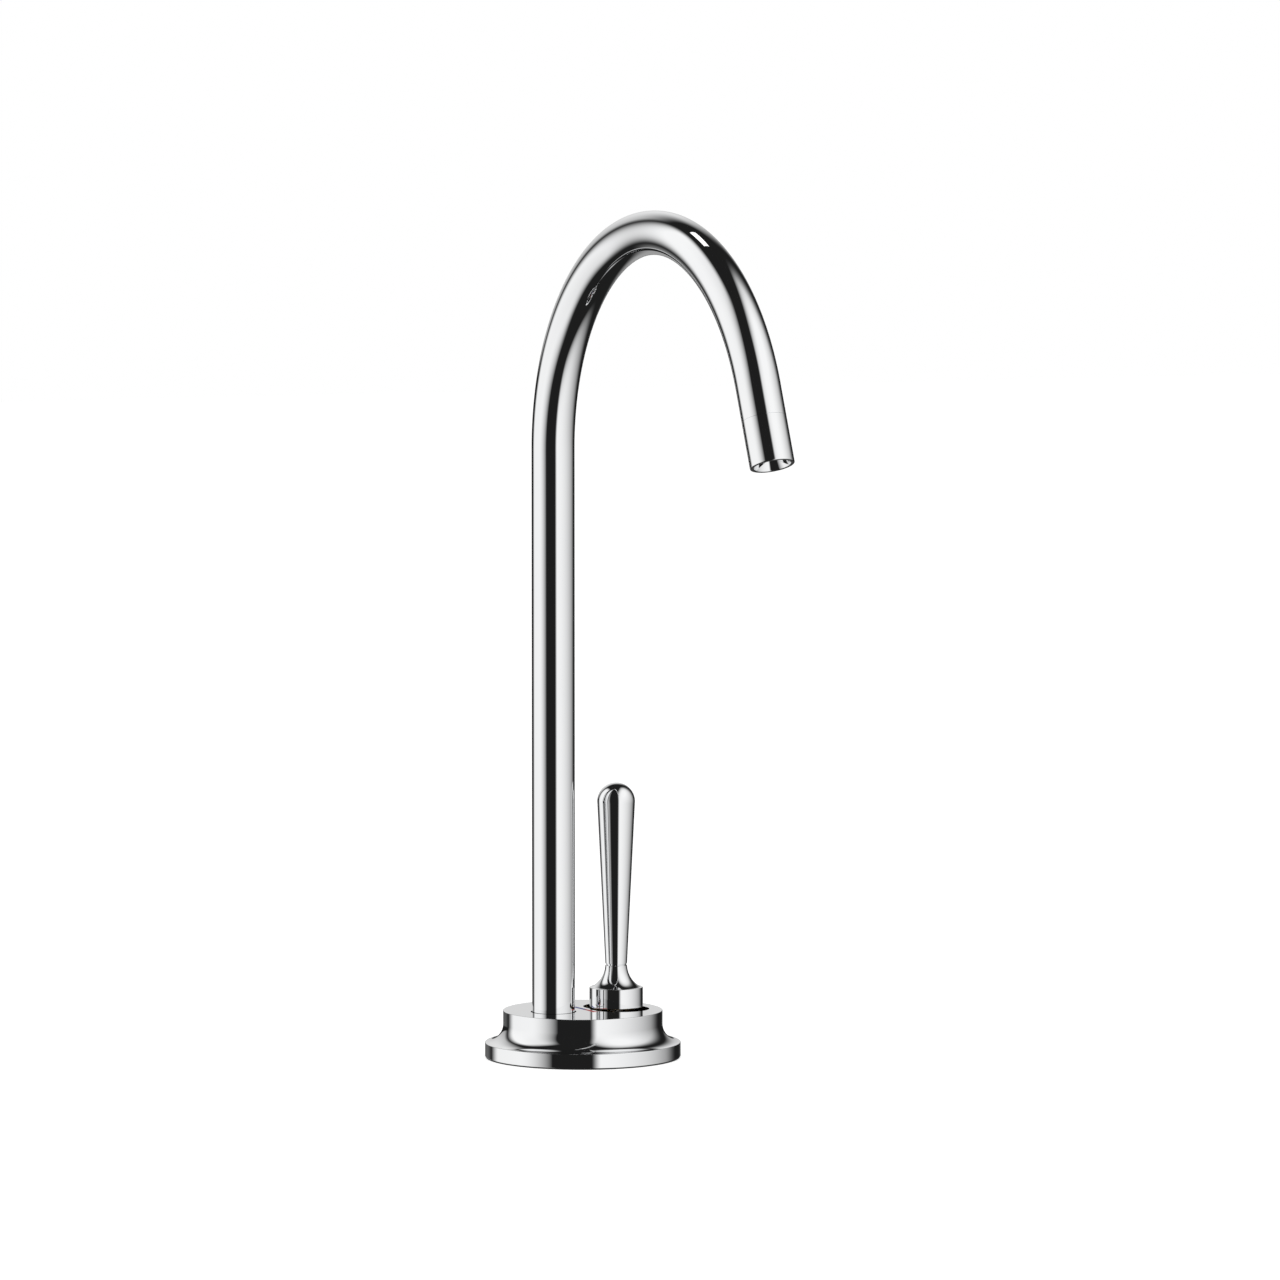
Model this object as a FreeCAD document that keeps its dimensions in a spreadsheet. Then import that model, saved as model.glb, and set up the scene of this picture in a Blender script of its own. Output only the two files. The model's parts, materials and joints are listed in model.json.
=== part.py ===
import FreeCAD, Part
import math
import operator
import os
import types

import Sketcher

# Dispenser tap: flared base, swivelling swan-neck spout and an upright tilting lever.
# Frame: millimetres, +Z up. The origin is the centre of the base on the worktop. The spout points to -Y,
# its column stands at -X and the lever at +X. Rest is the closed tap with the lever upright.

Vector = FreeCAD.Vector

# Driving sizes in millimetres and degrees
SIZES = {
    # Base
    "deck_height": 20.0,  # flat top of the base above the worktop
    "deck_radius": 33.65,  # drum under the flat top
    "flange_radius": 41.3,  # rim that stands on the worktop
    "rim_height": 6.5,  # straight edge of that rim
    "shell_wall": 3.0,  # side wall of the drum
    "deck_wall": 2.6,  # thickness of the flat top
    "edge_round": 0.3,  # small rounding on polished edges
    "post_radius": 3.6,  # screw posts inside the drum
    "screw_offset": 24.0,  # screws in front of and behind the centre
    "screw_radius": 2.0,  # M4
    "screw_head_radius": 3.5,
    "screw_head_height": 1.6,
    "screw_reach": 8.0,  # screw length inside the post
    "gasket_inner_radius": 35.0,
    "gasket_width": 3.3,
    "gasket_depth": 1.6,
    # Column and swan neck
    "column_offset": 13.9,  # column axis to the left of the centre
    "tube_radius": 9.0,
    "tube_wall": 1.2,
    "column_gap": 0.6,  # round the column in the flat top
    "tube_foot": 12.6,  # lower end of the tube
    "bend_height": 257.4,  # where the column starts to bend
    "bend_radius": 91.8,  # of the tube's centre line
    "bend_sweep": 159.3,  # degrees, so that the outlet leans forwards
    "outlet_straight": 33.2,  # from the end of the bend to the mouth
    "sleeve_length": 19.4,  # visible part of the nozzle sleeve
    "plug_length": 8.6,  # part of the sleeve inside the tube
    "seam_chamfer": 0.15,
    "mouth_radius": 7.5,  # at the lip
    "mouth_taper": 16.0,  # degrees from the axis: the mouth narrows inwards
    "mouth_depth": 14.0,
    "aerator_recess": 5.0,  # end of the taper, where the insert begins
    "aerator_washer_thickness": 0.8,
    "aerator_wall": 0.9,
    "aerator_lip": 0.8,  # rim of the insert below its screen
    "screen_thickness": 0.7,
    "screen_hole_radius": 0.4,
    "screen_ring_radius": 3.6,
    "sleeve_bore_radius": 4.6,
    # Lever
    "lever_offset": 15.9,  # lever axis to the right of the centre
    "slot_half_width": 11.9,
    "slot_half_length": 16.4,
    "hub_radius": 11.3,
    "hub_lift": 0.3,  # gap between the hub and the flat top
    "hub_height": 8.5,
    "hub_cavity_radius": 9.3,
    "hub_cavity_depth": 4.3,
    "hub_boss_radius": 5.0,
    "hub_boss_drop": 2.6,
    "bell_foot_radius": 10.3,
    "bell_neck_radius": 4.6,
    "bell_height": 9.2,
    "bell_curve": 10.9,
    "joint_groove": 0.45,  # depth of each half of the V groove
    "grip_top_radius": 7.95,
    "grip_length": 77.1,
    "stud_radius": 2.0,  # M4
    "stud_reach": 5.6,  # into the hub and into the grip
    "grub_radius": 1.5,  # M3
    "grub_socket_radius": 0.8,
    # Stem and its pivot
    "pivot_height": 12.5,
    "pivot_ball_radius": 3.2,
    "pin_radius": 1.0,
    "pin_length": 17.0,
    "stem_radius": 2.5,
    "stem_reach": 9.0,  # into the hub's boss
    "tail_radius": 1.5,
    "tail_drop": 3.9,  # pivot to the centre of the tail's round end
    # Valve
    "chamber_radius": 11.6,
    "chamber_wall": 1.8,
    "chamber_floor": 2.4,
    "chamber_top": 14.2,
    "housing_shoulder": 11.0,
    "housing_neck_radius": 9.5,
    "housing_top": 13.8,
    "slider_room_radius": 8.2,
    "slider_room_height": 9.7,
    "ball_bore_radius": 3.5,
    "stem_seal_section": 0.6,  # radius of the ring's round section
    "stem_seal_height": 10.65,
    "disc_radius": 10.0,
    "disc_thickness": 1.8,
    "port_radius": 1.5,
    "port_offset": 4.2,
    "port_seal_section": 0.45,
    "slider_radius": 6.4,
    "slider_disc_thickness": 1.6,
    "carrier_height": 2.4,
    "carrier_flare": 0.7,
    "cap_bore_radius": 4.3,
    "cap_height": 2.2,
    # Spout socket
    "socket_wall": 2.1,
    "bush_wall": 1.8,
    "bush_bottom": 13.45,
    "spigot_radius": 7.1,
    "spigot_bore_radius": 4.4,
    "spigot_bottom": 4.8,
    "spigot_plug_length": 13.4,
    "collar_bottom": 9.7,
    "ring_groove_depth": 1.3,
    "ring_groove_width": 1.6,
    "ring_groove_pitch": 2.4,
    "snap_ring_thickness": 1.2,
    "snap_ring_bottom": 10.5,
    "snap_groove_depth": 0.9,
    # Casting and the fastening under the worktop
    "plate_bottom": 0.4,
    "plate_top": 3.0,
    "bridge_half_width": 8.0,
    "bridge_top": 12.0,
    "tail_boss_radius": 17.0,  # locates in a 35 mm hole
    "tail_boss_depth": 14.0,
    "shank_radius": 15.0,  # M30
    "shank_wall": 2.5,
    "shank_grip": 8.0,  # screwed into the tail boss
    "shank_end": 55.0,  # below the worktop's face
    "inlet_radius": 3.46,  # core of an M8x1 thread
    "inlet_depth": 6.0,
    "inlet_circle": 7.6,
    "channel_radius": 1.3,
    "worktop_thickness": 30.0,
    "rubber_thickness": 3.0,
    "rubber_radius": 27.0,
    "washer_thickness": 1.5,
    "washer_radius": 26.0,
    "nut_height": 8.0,
    "nut_flat": 21.0,  # half the width across flats
    "nut_chamfer": 1.2,
    # Hot and cold strip
    "mark_width": 1.6,
    "mark_length": 9.8,
    "mark_depth": 0.5,
    # Clearances
    "film_gap": 0.03,  # between the ceramic discs
    "thread_gap": 0.05,  # between screwed pieces
    "running_gap": 0.06,  # between the column and its bush
    "pin_gap": 0.03,
    "seat_gap": 0.1,
    "free_gap": 0.3,
    "washer_gap": 0.3,
    "tail_gap": 0.1,
}


class Measure:
    """A size in use: its value now and the expression over the sheet that gives it."""

    def __init__(self, value, text):
        self.value = float(value)
        self.text = text

    def combine(self, other, action, sign, swapped=False):
        first, second = (other, self) if swapped else (self, other)
        first, second = as_measure(first), as_measure(second)
        return Measure(action(first.value, second.value), f"({first.text} {sign} {second.text})")

    def __add__(self, other):
        return self.combine(other, operator.add, "+")

    def __radd__(self, other):
        return self.combine(other, operator.add, "+", swapped=True)

    def __sub__(self, other):
        return self.combine(other, operator.sub, "-")

    def __rsub__(self, other):
        return self.combine(other, operator.sub, "-", swapped=True)

    def __mul__(self, other):
        return self.combine(other, operator.mul, "*")

    def __rmul__(self, other):
        return self.combine(other, operator.mul, "*", swapped=True)

    def __truediv__(self, other):
        return self.combine(other, operator.truediv, "/")

    def __neg__(self):
        return 0 - self


def as_measure(number):
    if isinstance(number, Measure):
        return number
    return Measure(number, f"{float(number):.6f}")


def root(measure):
    return Measure(math.sqrt(measure.value), f"sqrt({measure.text})")


def sine(degrees):
    degrees = as_measure(degrees)
    return Measure(math.sin(math.radians(degrees.value)), f"sin({degrees.text})")


def cosine(degrees):
    degrees = as_measure(degrees)
    return Measure(math.cos(math.radians(degrees.value)), f"cos({degrees.text})")


# Document and its sheet
doc = FreeCAD.newDocument("DispenserTap")
sheet = doc.addObject("Spreadsheet::Sheet", "Sizes")
for row, (alias, value) in enumerate(SIZES.items(), start=1):
    sheet.set(f"A{row}", alias.replace("_", " "))
    sheet.set(f"B{row}", str(value))
    sheet.setAlias(f"B{row}", alias)
doc.recompute()
s = types.SimpleNamespace(**{alias: Measure(value, f"Sizes.{alias}") for alias, value in SIZES.items()})

# Places that several pieces share
column_x = -s.column_offset
lever_x = s.lever_offset
deck_underside = s.deck_height - s.deck_wall
cavity_radius = s.deck_radius - s.shell_wall
tube_bore = s.tube_radius - s.tube_wall
hub_bottom = s.deck_height + s.hub_lift
hub_top = hub_bottom + s.hub_height
hub_ceiling = hub_bottom + s.hub_cavity_depth
hub_boss_bottom = hub_ceiling - s.hub_boss_drop
lever_joint = hub_top + s.bell_height + s.joint_groove
stem_top = hub_boss_bottom + s.stem_reach
stud_bottom = lever_joint - s.stud_reach
stud_top = lever_joint + s.stud_reach
tail_height = s.pivot_height - s.tail_drop
disc_bottom = s.chamber_floor + 2 * s.port_seal_section
disc_top = disc_bottom + s.disc_thickness
slider_bottom = disc_top + s.film_gap
slider_top = slider_bottom + s.slider_disc_thickness
carrier_top = slider_top + s.carrier_height
bush_outer = s.tube_radius + s.running_gap + s.bush_wall
spigot_socket = s.spigot_radius + s.seat_gap
collar_step = s.collar_bottom - s.free_gap
post_bottom = s.plate_top
shank_top = s.shank_grip - s.tail_boss_depth
rubber_top = -s.worktop_thickness
washer_top = rubber_top - s.rubber_thickness
nut_top = washer_top - s.washer_thickness


def bind(target, prop, measure):
    """Set a property from a size, and keep it tied to the sheet where it comes from there."""
    measure = as_measure(measure)
    if "Sizes." in measure.text:
        target.setExpression(prop, measure.text)
    else:
        setattr(target, prop, measure.value)


def place(item, x=0, y=0, z=0, tilt=None):
    """Put a sub-part at x, y, z, leaned back round the X axis by tilt degrees."""
    x, y, z = as_measure(x), as_measure(y), as_measure(z)
    turn = FreeCAD.Rotation(Vector(-1, 0, 0), tilt.value) if tilt else FreeCAD.Rotation()
    item.Placement = FreeCAD.Placement(Vector(x.value, y.value, z.value), turn)
    for axis, measure in (("x", x), ("y", y), ("z", z)):
        if "Sizes." in measure.text:
            item.setExpression(f"Placement.Base.{axis}", measure.text)
    if tilt:
        item.setExpression("Placement.Rotation.Angle", f"{tilt.text} * 1 deg")


def new_body(label):
    body = doc.addObject("PartDesign::Body", label)
    body.Label = label
    return body


def new_sketch(body, name, role="XY_Plane", offset=0):
    """A sketch on one of the body's own origin planes, moved along the plane's normal."""
    offset = as_measure(offset)
    sketch = body.newObject("Sketcher::SketchObject", name)
    plane = next(item for item in body.Origin.OriginFeatures if item.Role == role)
    sketch.AttachmentSupport = [(plane, "")]
    sketch.MapMode = "FlatFace"
    sketch.AttachmentOffset = FreeCAD.Placement(Vector(0, 0, offset.value), FreeCAD.Rotation())
    if "Sizes." in offset.text:
        sketch.setExpression("AttachmentOffset.Base.z", offset.text)
    return sketch


def pin_point(sketch, geometry, end, x, y):
    """Fix one point of the sketch by its two coordinates."""
    for kind, axis, measure in (("DistanceX", -2, as_measure(x)), ("DistanceY", -1, as_measure(y))):
        if measure.value == 0:
            sketch.addConstraint(Sketcher.Constraint("PointOnObject", geometry, end, axis))
            continue
        constraint = Sketcher.Constraint(kind, -1, 1, geometry, end, measure.value)
        index = sketch.addConstraint(constraint)
        if "Sizes." in measure.text:
            sketch.setExpression(f"Constraints[{index}]", measure.text)


def fix_radius(sketch, geometry, radius):
    radius = as_measure(radius)
    index = sketch.addConstraint(Sketcher.Constraint("Radius", geometry, radius.value))
    if "Sizes." in radius.text:
        sketch.setExpression(f"Constraints[{index}]", radius.text)


class Arc:
    """Between two corners of an outline: an arc that bulges left (+1) or right (-1) of the way along."""

    def __init__(self, radius, bulge):
        self.radius = as_measure(radius)
        self.bulge = bulge


def minor_arc(start, end, arc):
    """The short arc between two corners, drawn anticlockwise as a sketch wants it."""
    chord = end - start
    left = Vector(-chord.y, chord.x, 0).normalize()
    distance = math.sqrt(max(arc.radius.value**2 - (chord.Length / 2) ** 2, 0))
    centre = (start + end) * 0.5 - left * (arc.bulge * distance)
    first, last = (start, end) if arc.bulge < 0 else (end, start)
    begin = math.atan2(first.y - centre.y, first.x - centre.x)
    finish = math.atan2(last.y - centre.y, last.x - centre.x)
    if finish < begin:
        finish += 2 * math.pi
    return Part.ArcOfCircle(Part.Circle(centre, Vector(0, 0, 1), arc.radius.value), begin, finish)


def draw_outline(sketch, items, closed=True):
    """Lines and arcs through corners (x, y); an Arc between two corners makes that stretch round."""
    corners = [item for item in items if not isinstance(item, Arc)]
    arcs = {}
    for place_in_list, item in enumerate(items):
        if isinstance(item, Arc):
            before = sum(not isinstance(other, Arc) for other in items[:place_in_list])
            arcs[before - 1] = item
    points = [Vector(as_measure(x).value, as_measure(y).value, 0) for x, y in corners]
    count = len(points) if closed else len(points) - 1
    ends = []
    for index in range(count):
        start, end = points[index], points[(index + 1) % len(points)]
        if index not in arcs:
            geometry = sketch.addGeometry(Part.LineSegment(start, end))
            ends.append((geometry, 1, 2))
            continue
        geometry = sketch.addGeometry(minor_arc(start, end, arcs[index]))
        ends.append((geometry, 1, 2) if arcs[index].bulge < 0 else (geometry, 2, 1))
    for index in range(count if closed else count - 1):
        geometry, _, end = ends[index]
        following, start, _ = ends[(index + 1) % count]
        sketch.addConstraint(Sketcher.Constraint("Coincident", geometry, end, following, start))
    for (geometry, start, _), corner in zip(ends, corners):
        pin_point(sketch, geometry, start, *corner)
    if not closed:
        geometry, _, end = ends[-1]
        pin_point(sketch, geometry, end, *corners[-1])
    for index, arc in arcs.items():
        fix_radius(sketch, ends[index][0], arc.radius)


def draw_circle(sketch, x, y, radius):
    centre = Vector(as_measure(x).value, as_measure(y).value, 0)
    geometry = sketch.addGeometry(Part.Circle(centre, Vector(0, 0, 1), as_measure(radius).value))
    pin_point(sketch, geometry, 3, x, y)
    fix_radius(sketch, geometry, radius)


def rectangle(left, right, bottom, top):
    return [(left, bottom), (right, bottom), (right, top), (left, top)]


def oval(x, half_width, half_length):
    """A slot outline along Y with round ends, each end two quarter arcs."""
    straight = half_length - half_width
    return [
        (x + half_width, -straight), (x + half_width, straight), Arc(half_width, -1),
        (x, half_length), Arc(half_width, -1),
        (x - half_width, straight), (x - half_width, -straight), Arc(half_width, -1),
        (x, -half_length), Arc(half_width, -1),
    ]


def turn(body, name, items, cut=False):
    """Revolve an outline in the XZ plane round the body's Z axis."""
    sketch = new_sketch(body, f"{name}_outline", "XZ_Plane")
    draw_outline(sketch, items)
    kind = "PartDesign::Groove" if cut else "PartDesign::Revolution"
    return finish_feature(body, kind, name, sketch, cut, ReferenceAxis=(sketch, ["V_Axis"]))


def finish_feature(body, kind, name, sketch, cut, **settings):
    """Add a feature on a sketch; a cut has to take material away."""
    doc.recompute()
    before = body.Shape.Volume if cut else 0
    feature = body.newObject(kind, name)
    feature.Profile = sketch
    for prop, value in settings.items():
        bind(feature, prop, value) if isinstance(value, Measure) else setattr(feature, prop, value)
    doc.recompute()
    if cut and not body.Shape.Volume < before - 1e-6:
        raise RuntimeError(f"{body.Label}: {name} cuts nothing")
    return feature


def prism(body, name, shapes, bottom, top, cut=False, role="XY_Plane"):
    """Pad or pocket closed outlines and circles between two levels along the plane's normal."""
    bottom, top = as_measure(bottom), as_measure(top)
    sketch = new_sketch(body, f"{name}_outline", role, top if cut else bottom)
    for shape in shapes:
        if isinstance(shape, tuple):
            draw_circle(sketch, *shape)
        else:
            draw_outline(sketch, shape)
    kind = "PartDesign::Pocket" if cut else "PartDesign::Pad"
    return finish_feature(body, kind, name, sketch, cut, Length=top - bottom)


def drill(body, name, start, end, radius):
    """A straight channel between two points of the casting."""
    doc.recompute()
    before = body.Shape.Volume
    first = Vector(*[as_measure(number).value for number in start])
    last = Vector(*[as_measure(number).value for number in end])
    channel = body.newObject("PartDesign::SubtractiveCylinder", name)
    bind(channel, "Radius", radius)
    channel.Height = (last - first).Length
    channel.Placement = FreeCAD.Placement(first, FreeCAD.Rotation(Vector(0, 0, 1), last - first))
    doc.recompute()
    if not body.Shape.Volume < before - 1e-6:
        raise RuntimeError(f"{body.Label}: {name} cuts nothing")


def round_edges(body, name, circles, radius):
    """Fillet the circular edges with the given radius and height."""
    doc.recompute()
    wanted = [(as_measure(r).value, as_measure(z).value) for r, z in circles]
    edges = []
    for number, edge in enumerate(body.Shape.Edges, start=1):
        curve = edge.Curve
        if not isinstance(curve, Part.Circle):
            continue
        on_axis = math.hypot(curve.Center.x, curve.Center.y) < 1e-6
        if on_axis and any(abs(curve.Radius - r) < 1e-4 and abs(curve.Center.z - z) < 1e-4 for r, z in wanted):
            edges.append(f"Edge{number}")
    if len(edges) < len(wanted):
        raise RuntimeError(f"{body.Label}: {name} finds {len(edges)} of {len(wanted)} edges")
    base = body.Tip
    fillet = body.newObject("PartDesign::Fillet", name)
    fillet.Base = (base, edges)
    bind(fillet, "Radius", radius)
    doc.recompute()


def ring(label, inner, outer, bottom, top):
    """A plain ring, turned in one go."""
    body = new_body(label)
    turn(body, "ring", rectangle(inner, outer, bottom, top))
    return body


def torus(name, mean_radius, section_radius):
    item = doc.addObject("Part::Torus", name)
    bind(item, "Radius1", mean_radius)
    bind(item, "Radius2", section_radius)
    return item


def group(label, items):
    """Identical small pieces that share one node and stay separate solids."""
    compound = doc.addObject("Part::Compound", label)
    compound.Label = label
    compound.Links = items
    return compound


# Base


def base_rosette():
    """Turned shell: drum, cove and rim, open below, with the column hole and the lever's slot."""
    body = new_body("base_rosette")
    cove_radius = s.flange_radius - s.deck_radius
    gasket_outer = s.gasket_inner_radius + s.gasket_width + 2 * s.thread_gap
    turn(body, "shell", [
        (cavity_radius, 0), (s.gasket_inner_radius, 0), (s.gasket_inner_radius, s.gasket_depth),
        (gasket_outer, s.gasket_depth), (gasket_outer, 0), (s.flange_radius, 0),
        (s.flange_radius, s.rim_height), Arc(cove_radius, 1),
        (s.deck_radius, s.rim_height + cove_radius), (s.deck_radius, s.deck_height),
        (0, s.deck_height), (0, deck_underside), (cavity_radius, deck_underside),
    ])
    round_edges(body, "edges", [
        (s.deck_radius, s.deck_height), (s.flange_radius, s.rim_height), (s.flange_radius, 0),
    ], s.edge_round)
    column_hole = (column_x, 0, s.tube_radius + s.column_gap)
    prism(body, "column_hole", [column_hole], deck_underside, s.deck_height, cut=True)
    lever_slot = oval(lever_x, s.slot_half_width, s.slot_half_length)
    prism(body, "lever_slot", [lever_slot], deck_underside, s.deck_height, cut=True)
    strip = rectangle(mark_left, mark_left + s.mark_width, -s.mark_length, s.mark_length)
    prism(body, "mark_recess", [strip], s.deck_height - s.mark_depth, s.deck_height, cut=True)
    posts = [(0, side * s.screw_offset, s.post_radius) for side in (-1, 1)]
    prism(body, "screw_posts", posts, post_bottom, deck_underside)
    thread = s.screw_radius + s.thread_gap
    holes = [(0, side * s.screw_offset, thread) for side in (-1, 1)]
    hole_top = post_bottom + s.screw_reach + s.free_gap
    prism(body, "screw_threads", holes, post_bottom, hole_top, cut=True)
    return body


# The strip runs midway between the column and the lever
mark_left = (lever_x + column_x) / 2 - s.mark_width / 2


def mark(label, front, back):
    """One enamelled half of the strip, flush with the flat top."""
    body = new_body(label)
    strip = rectangle(mark_left, mark_left + s.mark_width, front, back)
    prism(body, "strip", [strip], s.deck_height - s.mark_depth, s.deck_height)
    return body


def base_gasket():
    inner = s.gasket_inner_radius + s.thread_gap
    return ring("base_gasket", inner, inner + s.gasket_width, 0, s.gasket_depth)


def base_screws():
    """Two cheese-head screws that pull the shell down on the casting."""
    screws = []
    for side in (-1, 1):
        head = doc.addObject("Part::Cylinder", "screw_head")
        bind(head, "Radius", s.screw_head_radius)
        bind(head, "Height", s.screw_head_height)
        place(head, y=side * s.screw_offset, z=s.plate_bottom)
        shaft = doc.addObject("Part::Cylinder", "screw_shaft")
        bind(shaft, "Radius", s.screw_radius)
        bind(shaft, "Height", s.plate_top - s.plate_bottom + s.screw_reach)
        place(shaft, y=side * s.screw_offset, z=s.plate_bottom)
        screw = doc.addObject("Part::Fuse", "screw")
        screw.Base = head
        screw.Tool = shaft
        screws.append(screw)
    return group("base_screws", screws)


def valve_body():
    """Brass casting: plate, spout socket, valve chamber, the bridge between them and the tail boss."""
    body = new_body("valve_body")
    prism(body, "plate", [(0, 0, cavity_radius - s.free_gap)], s.plate_bottom, s.plate_top)
    socket_outer = bush_outer + s.thread_gap + s.socket_wall
    prism(body, "socket_boss", [(column_x, 0, socket_outer)], s.plate_bottom, deck_underside)
    chamber_outer = s.chamber_radius + s.chamber_wall
    prism(body, "chamber_boss", [(lever_x, 0, chamber_outer)], s.plate_bottom, s.chamber_top)
    bridge = rectangle(column_x, lever_x, -s.bridge_half_width, s.bridge_half_width)
    prism(body, "bridge", [bridge], s.plate_bottom, s.bridge_top)
    prism(body, "tail_boss", [(0, 0, s.tail_boss_radius)], -s.tail_boss_depth, s.plate_bottom)

    thread = s.shank_radius + s.thread_gap
    prism(body, "tail_thread", [(0, 0, thread)], -s.tail_boss_depth, shank_top, cut=True)
    prism(body, "inlets", inlet_circles(), shank_top, shank_top + s.inlet_depth, cut=True)

    bush_bore = bush_outer + s.thread_gap
    prism(body, "bush_seat", [(column_x, 0, bush_bore)], s.bush_bottom, deck_underside, cut=True)
    collar_bore = s.tube_radius + s.free_gap
    prism(body, "collar_bore", [(column_x, 0, collar_bore)], collar_step, s.bush_bottom, cut=True)
    groove_bottom = s.snap_ring_bottom - s.seat_gap
    groove_top = s.snap_ring_bottom + s.snap_ring_thickness + s.seat_gap
    snap_groove = (column_x, 0, collar_bore + s.snap_groove_depth + s.seat_gap)
    prism(body, "snap_groove", [snap_groove], groove_bottom, groove_top, cut=True)
    prism(body, "spigot_bore", [(column_x, 0, spigot_socket)], s.chamber_floor, collar_step, cut=True)
    chamber = (lever_x, 0, s.chamber_radius)
    prism(body, "chamber", [chamber], s.chamber_floor, s.chamber_top, cut=True)

    shafts = [(0, side * s.screw_offset, s.screw_radius + s.seat_gap) for side in (-1, 1)]
    prism(body, "screw_holes", shafts, s.plate_bottom, s.plate_top, cut=True)
    heads = [(0, side * s.screw_offset, s.screw_head_radius + s.seat_gap) for side in (-1, 1)]
    head_top = s.plate_bottom + s.screw_head_height
    prism(body, "screw_seats", heads, s.plate_bottom, head_top, cut=True)
    water_channels(body)
    return body


def inlet_centres():
    """Two hose sockets on the lever's side and one on the column's side."""
    return [(s.inlet_circle * cosine(angle), s.inlet_circle * sine(angle)) for angle in (60, -60, 180)]


def inlet_circles():
    return [(x, y, s.inlet_radius) for x, y in inlet_centres()]


def water_channels(body):
    """From two sockets up to the valve's ports, from the valve to the spout, and the tank's return."""
    roof = shank_top + s.inlet_depth
    ports = [(lever_x, s.port_offset), (lever_x, -s.port_offset)]
    for number, (inlet, port) in enumerate(zip(inlet_centres(), ports), start=1):
        start = (inlet[0], inlet[1], roof - s.channel_radius)
        end = (port[0], port[1], s.chamber_floor)
        drill(body, f"inlet_channel_{number}", start, end, s.channel_radius)
    valve_side = (lever_x - s.chamber_radius + 1, 0, disc_top + 1)
    spout_side = (column_x + s.spigot_radius - 1, 0, s.spigot_bottom - s.channel_radius)
    drill(body, "outlet_channel", valve_side, spout_side, s.channel_radius)
    return_x = inlet_centres()[2][0]
    drill(body, "return_channel", (return_x, 0, roof - 1), (return_x, 0, s.spigot_bottom), s.channel_radius)


# Fastening under the worktop


def threaded_shank():
    """Hollow shank that carries the hoses through the worktop, chamfered at its lower end."""
    body = new_body("threaded_shank")
    inner = s.shank_radius - s.shank_wall
    chamfer = s.shank_wall / 3
    turn(body, "tube", [
        (inner, -s.shank_end), (s.shank_radius - chamfer, -s.shank_end),
        (s.shank_radius, chamfer - s.shank_end), (s.shank_radius, shank_top), (inner, shank_top),
    ])
    return body


def mounting_nut():
    """Hexagon nut with its corners turned down at both ends."""
    body = new_body("mounting_nut")
    corner = s.nut_flat / cosine(30)
    hexagon = [(corner * cosine(60 * step), corner * sine(60 * step)) for step in range(6)]
    nut_bottom = nut_top - s.nut_height
    prism(body, "hexagon", [hexagon, (0, 0, s.shank_radius + s.thread_gap)], nut_bottom, nut_top)
    outside = corner + s.nut_chamfer
    for name, face, inward in (("upper_corners", nut_top, -1), ("lower_corners", nut_bottom, 1)):
        drop = face + inward * s.nut_chamfer
        turn(body, name, [(s.nut_flat, face), (outside, face), (outside, drop), (corner, drop)], cut=True)
    return body


# Spout


def spout_tube():
    """Column and swan neck: one ring swept up the column, round the bend and down to the sleeve."""
    body = new_body("spout_tube")
    bend_x = -s.bend_radius * (1 - cosine(s.bend_sweep))
    bend_z = s.bend_height + s.bend_radius * sine(s.bend_sweep)
    straight = s.outlet_straight - s.sleeve_length
    tip_x = bend_x - straight * sine(s.bend_sweep)
    tip_z = bend_z + straight * cosine(s.bend_sweep)
    half = s.bend_sweep / 2
    crown_x = -s.bend_radius * (1 - cosine(half))
    crown_z = s.bend_height + s.bend_radius * sine(half)
    spine = new_sketch(body, "centre_line", "YZ_Plane")
    draw_outline(spine, [
        (0, s.tube_foot), (0, s.bend_height), Arc(s.bend_radius, -1),
        (crown_x, crown_z), Arc(s.bend_radius, -1), (bend_x, bend_z), (tip_x, tip_z),
    ], closed=False)
    section = new_sketch(body, "section", "XY_Plane", s.tube_foot)
    draw_circle(section, 0, 0, s.tube_radius)
    draw_circle(section, 0, 0, tube_bore)
    edges = [f"Edge{number}" for number in range(1, 5)]
    finish_feature(body, "PartDesign::AdditivePipe", "tube", section, False, Spine=(spine, edges))
    place(body, x=column_x)
    return body


def at_mouth(body):
    """Put a nozzle piece on the outlet's axis, its local Z pointing back up the tube."""
    reach = s.bend_radius * (1 - cosine(s.bend_sweep)) + s.outlet_straight * sine(s.bend_sweep)
    height = s.bend_height + s.bend_radius * sine(s.bend_sweep) + s.outlet_straight * cosine(s.bend_sweep)
    place(body, x=column_x, y=-reach, z=height, tilt=180 - s.bend_sweep)
    return body


nozzle_ring_bottom = s.sleeve_length + s.plug_length / 2 - s.ring_groove_width / 2
nozzle_ring_depth = s.ring_groove_depth / 2
insert_bore = s.mouth_radius - s.aerator_recess * sine(s.mouth_taper) / cosine(s.mouth_taper)


def nozzle_sleeve():
    """Sleeve of the tube's own diameter, with a ringed plug inside the tube and a tapered mouth."""
    body = new_body("nozzle_sleeve")
    plug = tube_bore - s.thread_gap
    groove = plug - nozzle_ring_depth
    groove_top = nozzle_ring_bottom + s.ring_groove_width
    top = s.sleeve_length + s.plug_length
    turn(body, "sleeve", [
        (s.mouth_radius, 0), (s.tube_radius, 0),
        (s.tube_radius, s.sleeve_length - s.seam_chamfer),
        (s.tube_radius - s.seam_chamfer, s.sleeve_length), (plug, s.sleeve_length),
        (plug, nozzle_ring_bottom), (groove, nozzle_ring_bottom), (groove, groove_top),
        (plug, groove_top), (plug, top), (s.sleeve_bore_radius, top),
        (s.sleeve_bore_radius, s.mouth_depth), (insert_bore, s.mouth_depth), (insert_bore, s.aerator_recess),
    ])
    round_edges(body, "lip", [(s.tube_radius, 0), (s.mouth_radius, 0)], s.edge_round)
    return at_mouth(body)


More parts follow.
